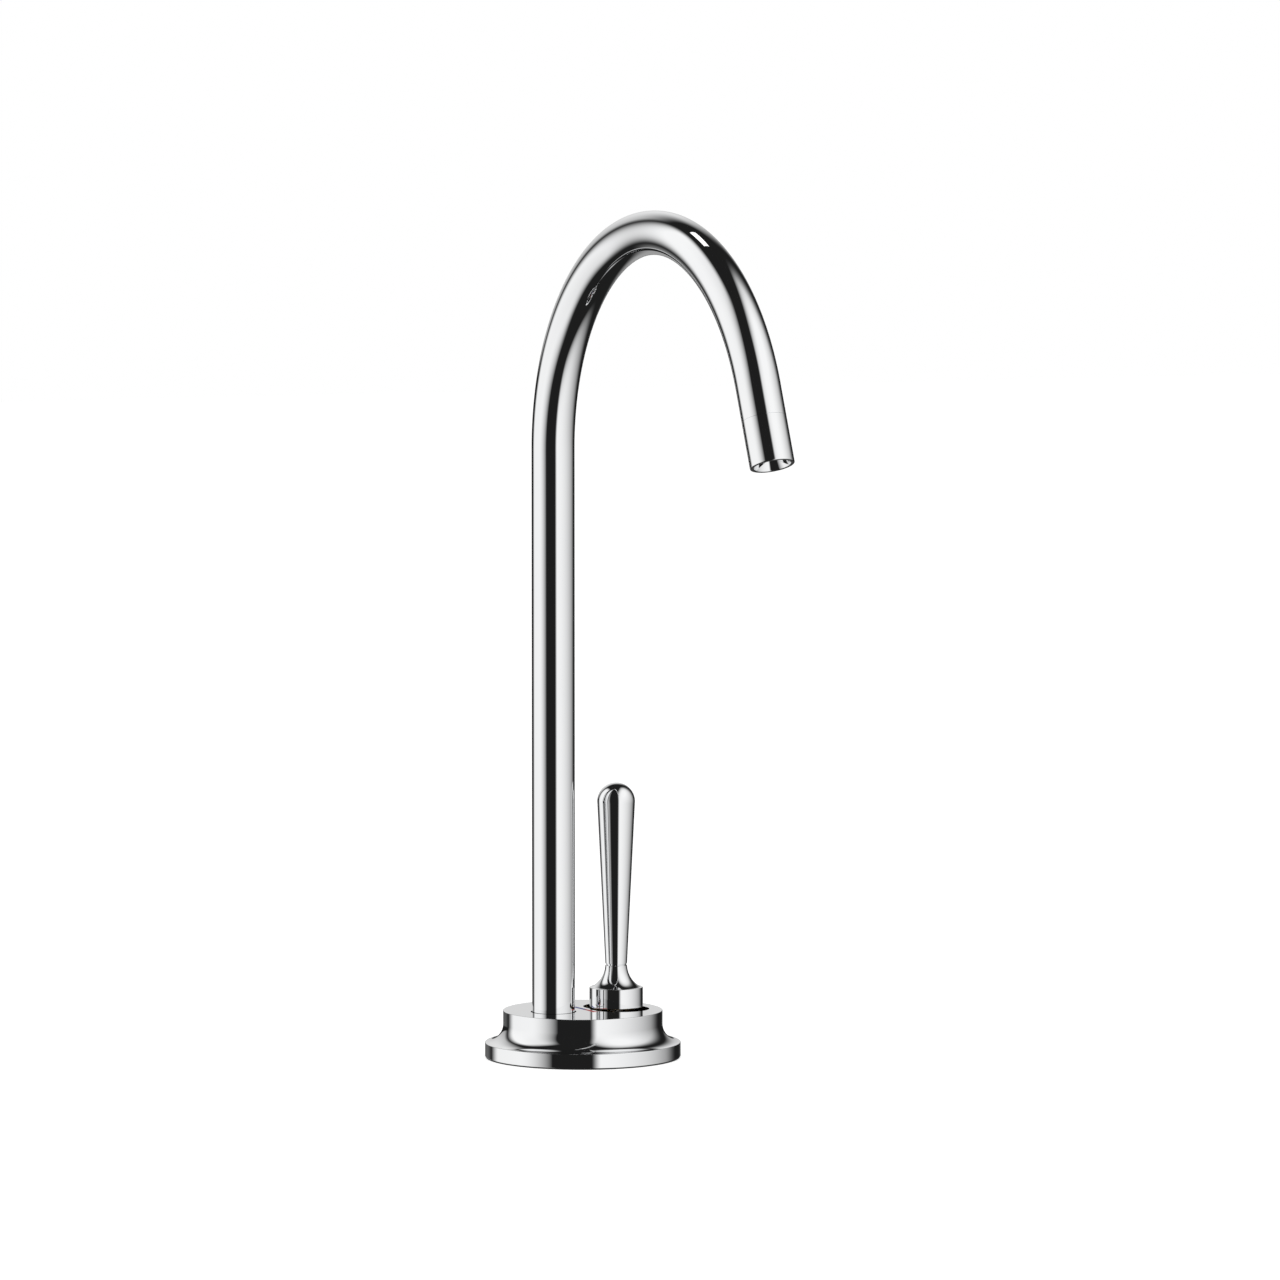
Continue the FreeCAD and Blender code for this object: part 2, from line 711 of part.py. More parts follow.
def nozzle_o_ring():
    """Ring that seals the plug in the tube, centred in its groove."""
    body = new_body("nozzle_o_ring")
    outer = tube_bore - s.film_gap
    inner = tube_bore - s.thread_gap - nozzle_ring_depth + s.film_gap
    middle = nozzle_ring_bottom + s.ring_groove_width / 2
    round_ring(body, (inner + outer) / 2, (outer - inner) / 2, middle)
    return at_mouth(body)


def round_ring(body, mean_radius, section, height):
    """Revolve a circle: four quarter arcs keep the outline one closed wire."""
    turn(body, "ring", [
        (mean_radius + section, height), Arc(section, -1), (mean_radius, height + section), Arc(section, -1),
        (mean_radius - section, height), Arc(section, -1), (mean_radius, height - section), Arc(section, -1),
    ])


def aerator_housing():
    """Plastic insert: a cup with its rim towards the mouth and an open back."""
    body = new_body("aerator_housing")
    outer = insert_bore - s.seat_gap
    inner = outer - s.aerator_wall
    top = s.mouth_depth - s.aerator_washer_thickness
    lip_top = s.aerator_recess + s.aerator_lip
    turn(body, "cup", [
        (inner - s.aerator_wall, s.aerator_recess), (outer, s.aerator_recess), (outer, top), (inner, top),
        (inner, lip_top), (inner - s.aerator_wall, lip_top),
    ])
    return at_mouth(body)


def aerator_screen():
    """Perforated disc that lies on the insert's rim: a centre hole and two rings of holes."""
    body = new_body("aerator_screen")
    radius = insert_bore - s.seat_gap - s.aerator_wall - s.thread_gap
    bottom = s.aerator_recess + s.aerator_lip
    prism(body, "disc", [(0, 0, radius)], bottom, bottom + s.screen_thickness)
    holes = [(0, 0, s.screen_hole_radius)]
    for ring_number in (1, 2):
        ring_radius = s.screen_ring_radius * ring_number / 2
        for step in range(6 * ring_number):
            angle = 360 * step / (6 * ring_number)
            holes.append((ring_radius * cosine(angle), ring_radius * sine(angle), s.screen_hole_radius))
    prism(body, "holes", holes, bottom, bottom + s.screen_thickness, cut=True)
    return at_mouth(body)


def aerator_washer():
    outer = insert_bore - s.seat_gap
    bottom = s.mouth_depth - s.aerator_washer_thickness
    return at_mouth(ring("aerator_washer", s.sleeve_bore_radius, outer, bottom, s.mouth_depth))


def spigot_groove_bottoms():
    first = s.spigot_bottom + (s.ring_groove_pitch - s.ring_groove_width) / 2
    return [first, first + s.ring_groove_pitch]


def spout_spigot():
    """Brass foot of the spout: plug in the tube, collar with the snap-ring groove, ringed spigot."""
    body = new_body("spout_spigot")
    plug = tube_bore - s.thread_gap
    plug_top = s.tube_foot + s.spigot_plug_length
    groove = s.spigot_radius - s.ring_groove_depth
    snap = s.tube_radius - s.snap_groove_depth
    snap_bottom = s.snap_ring_bottom - s.seat_gap
    snap_top = s.snap_ring_bottom + s.snap_ring_thickness + s.seat_gap
    outline = [(s.spigot_bore_radius, s.spigot_bottom), (s.spigot_radius, s.spigot_bottom)]
    for bottom in spigot_groove_bottoms():
        top = bottom + s.ring_groove_width
        outline += [(s.spigot_radius, bottom), (groove, bottom), (groove, top), (s.spigot_radius, top)]
    outline += [
        (s.spigot_radius, s.collar_bottom), (s.tube_radius, s.collar_bottom),
        (s.tube_radius, snap_bottom), (snap, snap_bottom), (snap, snap_top), (s.tube_radius, snap_top),
        (s.tube_radius, s.tube_foot), (plug, s.tube_foot), (plug, plug_top), (s.spigot_bore_radius, plug_top),
    ]
    turn(body, "spigot", outline)
    place(body, x=column_x)
    return body


def spigot_o_rings():
    inner = s.spigot_radius - s.ring_groove_depth + s.film_gap
    outer = spigot_socket - s.film_gap
    rings = []
    for bottom in spigot_groove_bottoms():
        item = torus("spigot_ring", (inner + outer) / 2, (outer - inner) / 2)
        place(item, x=column_x, z=bottom + s.ring_groove_width / 2)
        rings.append(item)
    return group("spigot_o_rings", rings)


def glide_bush():
    body = ring("glide_bush", s.tube_radius + s.running_gap, bush_outer, s.bush_bottom, deck_underside)
    place(body, x=column_x)
    return body


def glide_washer():
    top = s.collar_bottom - s.running_gap
    body = ring("glide_washer", s.spigot_radius + s.seat_gap, s.tube_radius, collar_step, top)
    place(body, x=column_x)
    return body


def snap_ring():
    """Split spring ring: half in the casting's groove, half in the collar's."""
    body = new_body("snap_ring")
    inner = s.tube_radius - s.snap_groove_depth + s.seat_gap
    outer = s.tube_radius + s.free_gap + s.snap_groove_depth
    top = s.snap_ring_bottom + s.snap_ring_thickness
    turn(body, "ring", rectangle(inner, outer, s.snap_ring_bottom, top))
    opening = rectangle(0, outer + 1, -s.snap_ring_thickness, s.snap_ring_thickness)
    prism(body, "split", [opening], s.snap_ring_bottom, top, cut=True)
    place(body, x=column_x)
    return body


# Lever


def lever_hub():
    """Short drum with a shoulder and a bell neck, hollow below round the boss that takes the stem."""
    body = new_body("lever_hub")
    stud_hole = s.stud_radius + s.thread_gap
    stem_hole = s.stem_radius + s.thread_gap
    joint = s.bell_neck_radius - s.joint_groove
    neck_top = lever_joint - s.joint_groove
    stud_floor = stud_bottom - s.seat_gap
    stem_roof = stem_top + s.seat_gap
    turn(body, "hub", [
        (s.hub_cavity_radius, hub_bottom), (s.hub_radius, hub_bottom), (s.hub_radius, hub_top),
        (s.bell_foot_radius, hub_top), Arc(s.bell_curve, 1), (s.bell_neck_radius, neck_top),
        (joint, lever_joint), (stud_hole, lever_joint), (stud_hole, stud_floor), (0, stud_floor),
        (0, stem_roof), (stem_hole, stem_roof), (stem_hole, hub_boss_bottom),
        (s.hub_boss_radius, hub_boss_bottom), (s.hub_boss_radius, hub_ceiling),
        (s.hub_cavity_radius, hub_ceiling),
    ])
    round_edges(body, "edges", [(s.hub_radius, hub_top), (s.hub_radius, hub_bottom)], s.edge_round)
    grub_hole = (0, grub_height, s.grub_radius + s.thread_gap)
    prism(body, "grub_thread", [grub_hole], -s.hub_radius, -s.stem_radius, cut=True, role="XZ_Plane")
    place(body, x=lever_x)
    return body


grub_height = (hub_ceiling + hub_top) / 2


def hub_grub_screw():
    """Headless screw at the back of the hub, its point on the stem and a hexagon socket outside."""
    body = new_body("hub_grub_screw")
    outer_end = s.edge_round - s.hub_radius
    socket_depth = s.grub_radius
    prism(body, "shaft", [(0, grub_height, s.grub_radius)], outer_end, -s.stem_radius, role="XZ_Plane")
    across = s.grub_socket_radius
    hexagon = [
        (across * cosine(60 * step), grub_height + across * sine(60 * step)) for step in range(6)
    ]
    prism(body, "socket", [hexagon], outer_end, outer_end + socket_depth, cut=True, role="XZ_Plane")
    place(body, x=lever_x)
    return body


def lever_grip():
    """Club: a long straight taper that runs into a round top, with a blind hole for the stud."""
    body = new_body("lever_grip")
    crown = lever_joint + s.grip_length
    round_centre = crown - s.grip_top_radius
    foot = lever_joint + s.joint_groove
    slope = (s.grip_top_radius - s.bell_neck_radius) / (round_centre - foot)
    lean = root(1 + slope * slope)
    stud_hole = s.stud_radius + s.thread_gap
    stud_roof = stud_top + s.seat_gap
    turn(body, "club", [
        (stud_hole, lever_joint), (s.bell_neck_radius - s.joint_groove, lever_joint),
        (s.bell_neck_radius, foot),
        (s.grip_top_radius / lean, round_centre - s.grip_top_radius * slope / lean),
        Arc(s.grip_top_radius, -1), (0, crown), (0, stud_roof), (stud_hole, stud_roof),
    ])
    place(body, x=lever_x)
    return body


def joining_stud():
    body = new_body("joining_stud")
    turn(body, "stud", rectangle(0, s.stud_radius, stud_bottom, stud_top))
    place(body, x=lever_x)
    return body


def lever_stem():
    """Steel stem: round-ended tail, pivot ball with a cross hole, and the shaft into the hub."""
    body = new_body("lever_stem")
    ball = s.pivot_ball_radius
    lower_meet = s.pivot_height - root(ball * ball - s.tail_radius * s.tail_radius)
    upper_meet = s.pivot_height + root(ball * ball - s.stem_radius * s.stem_radius)
    turn(body, "stem", [
        (0, tail_height - s.tail_radius), Arc(s.tail_radius, -1), (s.tail_radius, tail_height),
        (s.tail_radius, lower_meet), Arc(ball, -1), (ball, s.pivot_height), Arc(ball, -1),
        (s.stem_radius, upper_meet), (s.stem_radius, stem_top), (0, stem_top),
    ])
    cross = (0, s.pivot_height, s.pin_radius + s.pin_gap)
    prism(body, "cross_hole", [cross], -s.pivot_ball_radius, s.pivot_ball_radius, cut=True, role="YZ_Plane")
    place(body, x=lever_x)
    return body


def pivot_pin():
    body = new_body("pivot_pin")
    half = s.pin_length / 2
    prism(body, "pin", [(0, s.pivot_height, s.pin_radius)], -half, half, role="YZ_Plane")
    place(body, x=lever_x)
    return body


# Valve


def cartridge_housing():
    """Plastic housing: pocket for the fixed disc, room for the slider, seal groove and ball bore."""
    body = new_body("cartridge_housing")
    outer = s.chamber_radius - s.seat_gap
    disc_pocket = s.disc_radius + s.seat_gap
    lip = s.ball_bore_radius - s.free_gap
    seal_bottom = s.stem_seal_height - s.stem_seal_section - s.thread_gap
    seal_top = s.stem_seal_height + s.stem_seal_section + s.thread_gap
    seal_outer = stem_seal_radius() + s.stem_seal_section + s.thread_gap
    turn(body, "housing", [
        (disc_pocket, s.chamber_floor), (outer, s.chamber_floor), (outer, s.housing_shoulder),
        (s.housing_neck_radius, s.housing_shoulder), (s.housing_neck_radius, s.housing_top),
        (s.ball_bore_radius, s.housing_top), (s.ball_bore_radius, seal_top), (seal_outer, seal_top),
        (seal_outer, seal_bottom), (lip, seal_bottom), (lip, s.slider_room_height),
        (s.slider_room_radius, s.slider_room_height), (s.slider_room_radius, disc_top + s.seat_gap),
        (disc_pocket, disc_top + s.seat_gap),
    ])
    pin_hole = (0, s.pivot_height, s.pin_radius + s.pin_gap)
    reach = s.housing_neck_radius
    prism(body, "pin_hole", [pin_hole], -reach, reach, cut=True, role="YZ_Plane")
    window_top = disc_top + 2 * s.channel_radius
    window = rectangle(-outer - 1, -s.slider_room_radius + 1, -s.channel_radius, s.channel_radius)
    prism(body, "outlet_window", [window], disc_top + s.seat_gap, window_top, cut=True)
    place(body, x=lever_x)
    return body


def stem_seal_radius():
    """Mean radius at which the ring just clears the pivot ball, below its equator."""
    drop = s.pivot_height - s.stem_seal_height
    reach = s.pivot_ball_radius + s.stem_seal_section + s.thread_gap
    return root(reach * reach - drop * drop)


def stem_seal():
    body = new_body("stem_seal")
    round_ring(body, stem_seal_radius(), s.stem_seal_section, s.stem_seal_height)
    place(body, x=lever_x)
    return body


def cartridge_nut():
    """Ring nut on the housing's shoulder, with two notches for its key."""
    body = new_body("cartridge_nut")
    inner = s.housing_neck_radius + s.thread_gap
    outer = s.chamber_radius - s.thread_gap
    turn(body, "nut", rectangle(inner, outer, s.housing_shoulder, s.chamber_top))
    notch = rectangle(-s.stem_radius / 2, s.stem_radius / 2, -outer - 1, outer + 1)
    prism(body, "notches", [notch], s.chamber_top - s.stem_seal_section, s.chamber_top, cut=True)
    place(body, x=lever_x)
    return body


def dust_cap():
    """Black cap on the housing that closes the view through the slot."""
    body = new_body("dust_cap")
    outer = s.housing_neck_radius - s.seat_gap
    top = s.housing_top + s.cap_height
    edge = s.housing_top + s.cap_height / 2
    turn(body, "cap", [
        (s.cap_bore_radius, s.housing_top), (outer, s.housing_top), (outer, edge),
        (s.cap_bore_radius + s.free_gap * 3, top), (s.cap_bore_radius, top),
    ])
    place(body, x=lever_x)
    return body


def fixed_disc():
    """Ceramic disc with the hot and the cold port."""
    body = new_body("fixed_disc")
    prism(body, "disc", [(0, 0, s.disc_radius)], disc_bottom, disc_top)
    ports = [(0, side * s.port_offset, s.port_radius) for side in (-1, 1)]
    prism(body, "ports", ports, disc_bottom, disc_top, cut=True)
    place(body, x=lever_x)
    return body


def port_seals():
    rings = []
    for side in (-1, 1):
        item = torus("port_seal", s.port_radius + 2 * s.port_seal_section, s.port_seal_section)
        place(item, x=lever_x, y=side * s.port_offset, z=s.chamber_floor + s.port_seal_section)
        rings.append(item)
    return group("port_seals", rings)


def moving_disc():
    """Sliding ceramic disc, with the shallow recess that leads an open port to the outlet."""
    body = new_body("moving_disc")
    prism(body, "disc", [(0, 0, s.slider_radius)], slider_bottom, slider_top)
    half = s.port_radius
    recess = rectangle(-2 * half, 2 * half, -half, half)
    recess_top = slider_bottom + s.slider_disc_thickness / 2
    prism(body, "recess", [recess], slider_bottom, recess_top, cut=True)
    place(body, x=lever_x)
    return body


def slider_carrier():
    """Plastic carrier on the moving disc, its hole flared so that the tail can lean."""
    body = new_body("slider_carrier")
    hole = s.tail_radius + s.tail_gap
    flare_bottom = tail_height + s.tail_gap
    turn(body, "carrier", [
        (hole, slider_top), (s.slider_radius, slider_top), (s.slider_radius, carrier_top),
        (hole + s.carrier_flare, carrier_top), (hole, flare_bottom),
    ])
    place(body, x=lever_x)
    return body


def build():
    """Every sub-part, from the base upwards; its label is its node's name."""
    base = [
        base_rosette(), mark("cold_mark", 0, s.mark_length), mark("hot_mark", -s.mark_length, 0),
        base_gasket(), base_screws(), valve_body(), threaded_shank(), mounting_nut(),
        ring("rubber_washer", s.shank_radius + s.washer_gap, s.rubber_radius, washer_top, rubber_top),
        ring("steel_washer", s.shank_radius + s.washer_gap, s.washer_radius, nut_top, washer_top),
    ]
    spout = [
        spout_tube(), nozzle_sleeve(), nozzle_o_ring(), aerator_housing(), aerator_screen(),
        aerator_washer(), spout_spigot(), spigot_o_rings(), glide_bush(), glide_washer(), snap_ring(),
    ]
    lever = [lever_hub(), hub_grub_screw(), lever_grip(), joining_stud(), lever_stem(), pivot_pin()]
    valve = [
        cartridge_housing(), stem_seal(), cartridge_nut(), dust_cap(), fixed_disc(), port_seals(),
        moving_disc(), slider_carrier(),
    ]
    return base + spout + lever + valve


def check(parts):
    """Stop before anything is written if an object failed or a shape isn't sound."""
    for item in doc.Objects:
        if "Invalid" in item.State or "Error" in item.State:
            raise RuntimeError(f"{item.Label} failed: {item.State}")
    for part in parts:
        if part.Shape.isNull() or not part.Shape.isValid():
            raise RuntimeError(f"{part.Label} has no valid shape")


parts = build()
doc.recompute()
check(parts)
os.makedirs("parts", exist_ok=True)
for part in parts:
    part.Shape.exportStep(os.path.join("parts", f"{part.Label}.step"))
    print(f"{part.Label}: {len(part.Shape.Solids)} solid, {part.Shape.Volume:.0f} mm3")
print(f"{len(parts)} nodes")
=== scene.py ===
# %% [markdown]
# # A dispenser tap in bright chrome
# The tap stands on its worktop as in a studio picture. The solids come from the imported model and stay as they
# are. Each polished piece gets a finer skin here, because a mirror shows every facet. So do the shank, the
# seal and the coloured strip, which have a small detail that their solids leave out. Every other piece gets a
# finish of its own.

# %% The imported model
import json
import math

import bmesh
import bpy
from mathutils import Matrix, Vector


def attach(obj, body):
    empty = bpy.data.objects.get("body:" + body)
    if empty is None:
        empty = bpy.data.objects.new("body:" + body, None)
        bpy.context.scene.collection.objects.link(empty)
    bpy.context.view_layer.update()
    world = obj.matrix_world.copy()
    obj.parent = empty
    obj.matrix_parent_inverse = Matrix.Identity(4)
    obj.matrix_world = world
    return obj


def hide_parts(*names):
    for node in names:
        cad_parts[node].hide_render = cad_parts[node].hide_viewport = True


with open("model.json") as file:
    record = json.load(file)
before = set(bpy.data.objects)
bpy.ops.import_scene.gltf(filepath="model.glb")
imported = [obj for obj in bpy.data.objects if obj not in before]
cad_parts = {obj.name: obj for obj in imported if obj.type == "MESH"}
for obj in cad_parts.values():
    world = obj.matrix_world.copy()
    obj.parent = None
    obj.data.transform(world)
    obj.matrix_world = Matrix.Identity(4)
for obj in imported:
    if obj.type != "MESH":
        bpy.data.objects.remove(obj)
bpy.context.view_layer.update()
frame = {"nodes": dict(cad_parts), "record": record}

MM = 0.001
scene = bpy.context.scene
scene.view_settings.view_transform = "Standard"

# %% [markdown]
# ## Camera
# A long lens keeps the column upright and shows the base almost from the side. The camera stands 3 m away, a
# little higher than the tap and to the left of a person in front of the spout. It is level from side to side.
# A shifted lens could frame the tap as well, but this one is only aimed, so any other view keeps the tap in
# the middle.

# %% Camera
camera_place = Vector((-1.38152, -2.65632, 0.40635))
heading = math.radians(-27.940)
pitch = math.radians(-4.3907)

camera = bpy.data.objects.new("camera", bpy.data.cameras.new("camera"))
scene.collection.objects.link(camera)
camera.location = camera_place
camera.rotation_euler = (math.pi / 2 + pitch, 0, heading)
camera.data.lens = 200.87
camera.data.sensor_width = 36
camera.data.clip_end = 100
scene.camera = camera
print("camera distance:", round(camera_place.length, 3))

# %% [markdown]
# ## Shader sums
# A finish is easier to read as a sum than as a web of nodes. Such a sum is still made of Math nodes: one
# small class wraps a socket, and an expression such as `1 - mask` adds the node that it stands for.

# %% Shader sums
class Value:
    """A number that varies over a surface: arithmetic on it adds Math nodes."""

    def __init__(self, tree, socket):
        self.tree = tree
        self.socket = socket

    def math(self, operation, *others, first=None):
        start = self if first is None else first
        inputs = dict(enumerate((start,) + others))
        return self.tree.add("ShaderNodeMath", {"operation": operation}, inputs)

    def __add__(self, other):
        return self.math("ADD", other)

    def __rsub__(self, other):
        return self.math("SUBTRACT", self, first=other)

    def __mul__(self, other):
        return self.math("MULTIPLY", other)

    def __truediv__(self, other):
        return self.math("DIVIDE", other)

    __radd__ = __add__
    __rmul__ = __mul__


print("a value can be added, taken from a number, multiplied and divided")

# %% [markdown]
# ## Nodes
# Every other node comes from one method: it takes the node's type, its settings and what goes into its
# sockets. A plain number or colour is typed into the socket and a value is linked to it, so both are written
# alike.

# %% Nodes
class Tree:
    """The nodes of one material or of the world."""

    def __init__(self, owner):
        owner.use_nodes = True
        self.nodes = owner.node_tree.nodes
        self.links = owner.node_tree.links
        self.nodes.clear()

    def add(self, kind, settings=None, inputs=None, output=0):
        """A node: its settings first, then the values or links of its sockets. Returns one output."""
        node = self.nodes.new(kind)
        for name, value in (settings or {}).items():
            setattr(node, name, value)
        for name, value in (inputs or {}).items():
            if isinstance(value, Value):
                self.links.new(value.socket, node.inputs[name])
            else:
                node.inputs[name].default_value = value
        return Value(self, node.outputs[output]) if node.outputs else node

    def smooth(self, value, low, high):
        """0 below low, 1 above high, with soft ends."""
        settings = {"interpolation_type": "SMOOTHSTEP"}
        return self.add("ShaderNodeMapRange", settings, {"Value": value, "From Min": low, "From Max": high})


print("one method adds any node")

# %% [markdown]
# ## Room
# Chrome has no colour of its own: what it shows is the room around it. The studio's lights could be glowing
# planes, but those would also light the matt parts and get in the picture. So the room is a formula in the
# world, which only reflections see. It starts from where a ray points: how far up, and how far towards a
# bearing.

# %% Room
world = bpy.data.worlds.new("studio")
scene.world = world
room = Tree(world)
ray = room.add("ShaderNodeTexCoord", output="Generated")
height = room.add("ShaderNodeVectorMath", {"operation": "DOT_PRODUCT"}, {0: ray, 1: (0, 0, 1)}, "Value")


def along(bearing):
    """How far a ray points towards a bearing: degrees from the camera's side towards the picture's right."""
    angle = math.radians(bearing)
    towards = Vector((math.sin(heading), -math.cos(heading), 0))
    rightwards = Vector((math.cos(heading), math.sin(heading), 0))
    direction = towards * math.cos(angle) + rightwards * math.sin(angle)
    return room.add("ShaderNodeVectorMath", {"operation": "DOT_PRODUCT"}, {0: ray, 1: direction}, "Value")


print("room nodes so far:", len(room.nodes))

# %% [markdown]
# ## Softbox
# A softbox is a sheet of white cloth with a lamp behind it, brightest near the lamp. Polished metal shows
# that fall of light as its soft grey shading, so a box of one even white would look like paper. The box is
# cut out of all directions by four soft edges. Its glow is a sum of slopes, bows and a twist over its width
# and height. A ray that passes the box sideways would have an endless slope, so it counts as pointing a hair
# forward.

# %% Softbox
GLOW_SPAN = 50
LEAST_FORWARD = 0.02


def softbox(bearing, left, right, bottom, top, middle, across=0, bow=0, rise=0, skew=0, lift=0, even_until=-9):
    """Edges are pairs of place and soft width: left and right in degrees, bottom and top as the ray's slope.
    The glow's terms count in GLOW_SPAN degrees. Left of even_until the glow stays as it is there."""
    forward = along(bearing)
    aside = forward.math("ARCTAN2", forward, first=along(bearing + 90)) * math.degrees(1)
    slope = height / forward.math("MAXIMUM", LEAST_FORWARD)
    box = room.smooth(aside, left[0], left[0] + left[1])
    box = box * (1 - room.smooth(aside, right[0] - right[1], right[0]))
    box = box * room.smooth(slope, bottom[0], bottom[0] + bottom[1])
    box = box * (1 - room.smooth(slope, top[0] - top[1], top[0]))
    sideways = aside / GLOW_SPAN
    upwards = height.math("ARCSINE") * (math.degrees(1) / GLOW_SPAN)
    fading = sideways.math("MAXIMUM", even_until)
    light = middle + across * fading + bow * fading * fading
    light = light + rise * upwards + skew * sideways * upwards + lift * upwards * upwards
    return box * light.math("MAXIMUM", 0.0)


print("a softbox glows in terms of", GLOW_SPAN, "degrees")

# %% [markdown]
# ## Four lights in the room
# A tall softbox stands on each side of the tap and a paler one behind it, and under that one the worktop's
# far end glows a little. In front the two tall boxes leave a dark gap, which draws the black line down every
# round piece. Chrome without such a dark line looks like grey plastic.

# %% Four lights in the room
left_box = softbox(
    -79, left=(-59, 20), right=(60, 10), bottom=(-2.0, 1.2), top=(2.2, 1.05),
    middle=0.875, across=-0.09, bow=-1.09, skew=-0.2, lift=-0.12, even_until=0,
)
right_box = softbox(
    81, left=(-70.5, 12), right=(69, 36), bottom=(-3.44, 3.74), top=(4.58, 5.4),
    middle=0.73, across=-0.37, bow=-0.15, rise=0.25, skew=0.19, lift=0.37,
)
back_box = softbox(
    -173, left=(-32, 27.6), right=(38, 12.5), bottom=(-0.01, 0.04), top=(1.15, 2.2),
    middle=0.95, across=-0.21, bow=-1.15, rise=2.2, skew=-0.92, lift=3.9,
)
table_glow = softbox(-173, left=(-32, 24), right=(38, 24), bottom=(-0.75, 0.4), top=(-0.1, 0.1), middle=0.3)
room_light = left_box + right_box + back_box + table_glow
print("room nodes with four lights:", len(room.nodes))

# %% [markdown]
# ## What each ray sees
# Reflections see the room, a little brighter than it is, to make up for what chrome swallows. The camera sees
# plain white behind the tap, and matt surfaces get even light from all sides. The Light Path node tells the
# three kinds of ray apart, so each can be set without spoiling the others.

# %% What each ray sees
CHROME_REFLECTS = 0.88
ROOM_DARK, ROOM_BRIGHTEST = 0.0125, 0.92
EVEN_LIGHT = 0.62
WHITE = (1, 1, 1, 1)

seen_in_metal = (room_light + ROOM_DARK).math("MINIMUM", ROOM_BRIGHTEST) / CHROME_REFLECTS
metal_view = room.add("ShaderNodeBackground", None, {"Color": seen_in_metal, "Strength": 1.0})
white_view = room.add("ShaderNodeBackground", None, {"Color": WHITE, "Strength": 1.0})
even_light = room.add("ShaderNodeBackground", None, {"Color": WHITE, "Strength": EVEN_LIGHT})
is_camera = room.add("ShaderNodeLightPath", output="Is Camera Ray")
is_glossy = room.add("ShaderNodeLightPath", output="Is Glossy Ray")
reflected = room.add("ShaderNodeMixShader", None, {0: is_glossy, 1: even_light, 2: metal_view})
shown = room.add("ShaderNodeMixShader", None, {0: is_camera, 1: reflected, 2: white_view})
room.add("ShaderNodeOutputWorld", None, {"Surface": shown})
print("chrome shows the room from", ROOM_DARK, "to", ROOM_BRIGHTEST)

# %% [markdown]
# ## Lamps
# One wide lamp overhead gives the tap its soft shadow on the worktop. It is hidden from reflections, because
# the boxes are what the chrome should show. The second is a small lamp above the arch, with a grid that keeps
# its light narrow. It is there for its own mirror image, a small spark that only the arch shows.

# %% Lamps
ARCH_TOP = Vector((-0.014, -0.125, 0.352))
SPARK_SIDE = Vector((0.033, 0.41, 0.896))
SPARK_DISTANCE = 0.3


def area_lamp(name, place, target, size, energy):
    lamp = bpy.data.objects.new(name, bpy.data.lights.new(name, "AREA"))
    scene.collection.objects.link(lamp)
    lamp.data.size = size
    lamp.data.energy = energy
    lamp.location = place
    lamp.rotation_euler = (Vector(target) - Vector(place)).to_track_quat("-Z", "Y").to_euler()
    lamp.visible_camera = False
    return lamp


soft_lamp = area_lamp("soft_lamp", place=(-0.5, -0.6, 2.0), target=(0, -0.05, 0), size=1.6, energy=10)
soft_lamp.visible_glossy = False
spark_place = ARCH_TOP + SPARK_DISTANCE * SPARK_SIDE
spark_lamp = area_lamp("spark_lamp", place=spark_place, target=ARCH_TOP, size=0.073, energy=0.001)
spark_lamp.data.spread = math.radians(32)
print("lamps:", soft_lamp.name, spark_lamp.name)

# %% [markdown]
# ## Worktop
# The tap stands on a white surface without an edge. The camera sees it as white, apart from the soft shadow
# that the tap leaves on it. Reflections pass through it to the room, as on a glass table, and from below it
# is clear, so that the parts under the worktop can be looked at. It lies a hair under the seal, so the two
# don't flicker.

# %% Worktop
FLOOR_REACH, FLOOR_DROP = 6.0, 0.05

floor_mesh = bpy.data.meshes.new("floor")
sheet = bmesh.new()
bmesh.ops.create_grid(sheet, x_segments=1, y_segments=1, size=FLOOR_REACH)
bmesh.ops.translate(sheet, vec=(0, 0, -FLOOR_DROP * MM), verts=sheet.verts)
sheet.to_mesh(floor_mesh)
sheet.free()
floor = bpy.data.objects.new("floor", floor_mesh)
scene.collection.objects.link(floor)
floor.visible_glossy = False
print("floor reach in metres:", FLOOR_REACH)

# %% [markdown]
# ## White surface
# A white board lit like this would come out pale grey. So the side that the camera sees gives off some light
# of its own on top of its matt white, which lifts it to the white of the background and leaves the shadow in.

# %% White surface
FLOOR_ALBEDO, FLOOR_LIFT = 0.8, 0.56

floor_finish = bpy.data.materials.new("white_surface")
surface = Tree(floor_finish)
matt = surface.add("ShaderNodeBsdfDiffuse", None, {"Color": (FLOOR_ALBEDO,) * 3 + (1,)})
glow = surface.add("ShaderNodeEmission", None, {"Color": WHITE, "Strength": FLOOR_LIFT})
lifted = surface.add("ShaderNodeAddShader", None, {0: matt, 1: glow})
clear = surface.add("ShaderNodeBsdfTransparent")
underside = surface.add("ShaderNodeNewGeometry", output="Backfacing")
either_side = surface.add("ShaderNodeMixShader", None, {0: underside, 1: lifted, 2: clear})
seen = surface.add("ShaderNodeLightPath", output="Is Camera Ray")
mixed = surface.add("ShaderNodeMixShader", None, {0: seen, 1: matt, 2: either_side})
surface.add("ShaderNodeOutputMaterial", None, {"Surface": mixed})
floor.data.materials.append(floor_finish)
print("floor finish:", floor_finish.name)

# %% [markdown]
# ## Finish tools
# Each finish is a Principled shader, of which only the colour, the roughness and the normal change over the
# surface. All patterns read the object's own coordinates in metres, so a scale of 1000 makes grains of a
# millimetre.

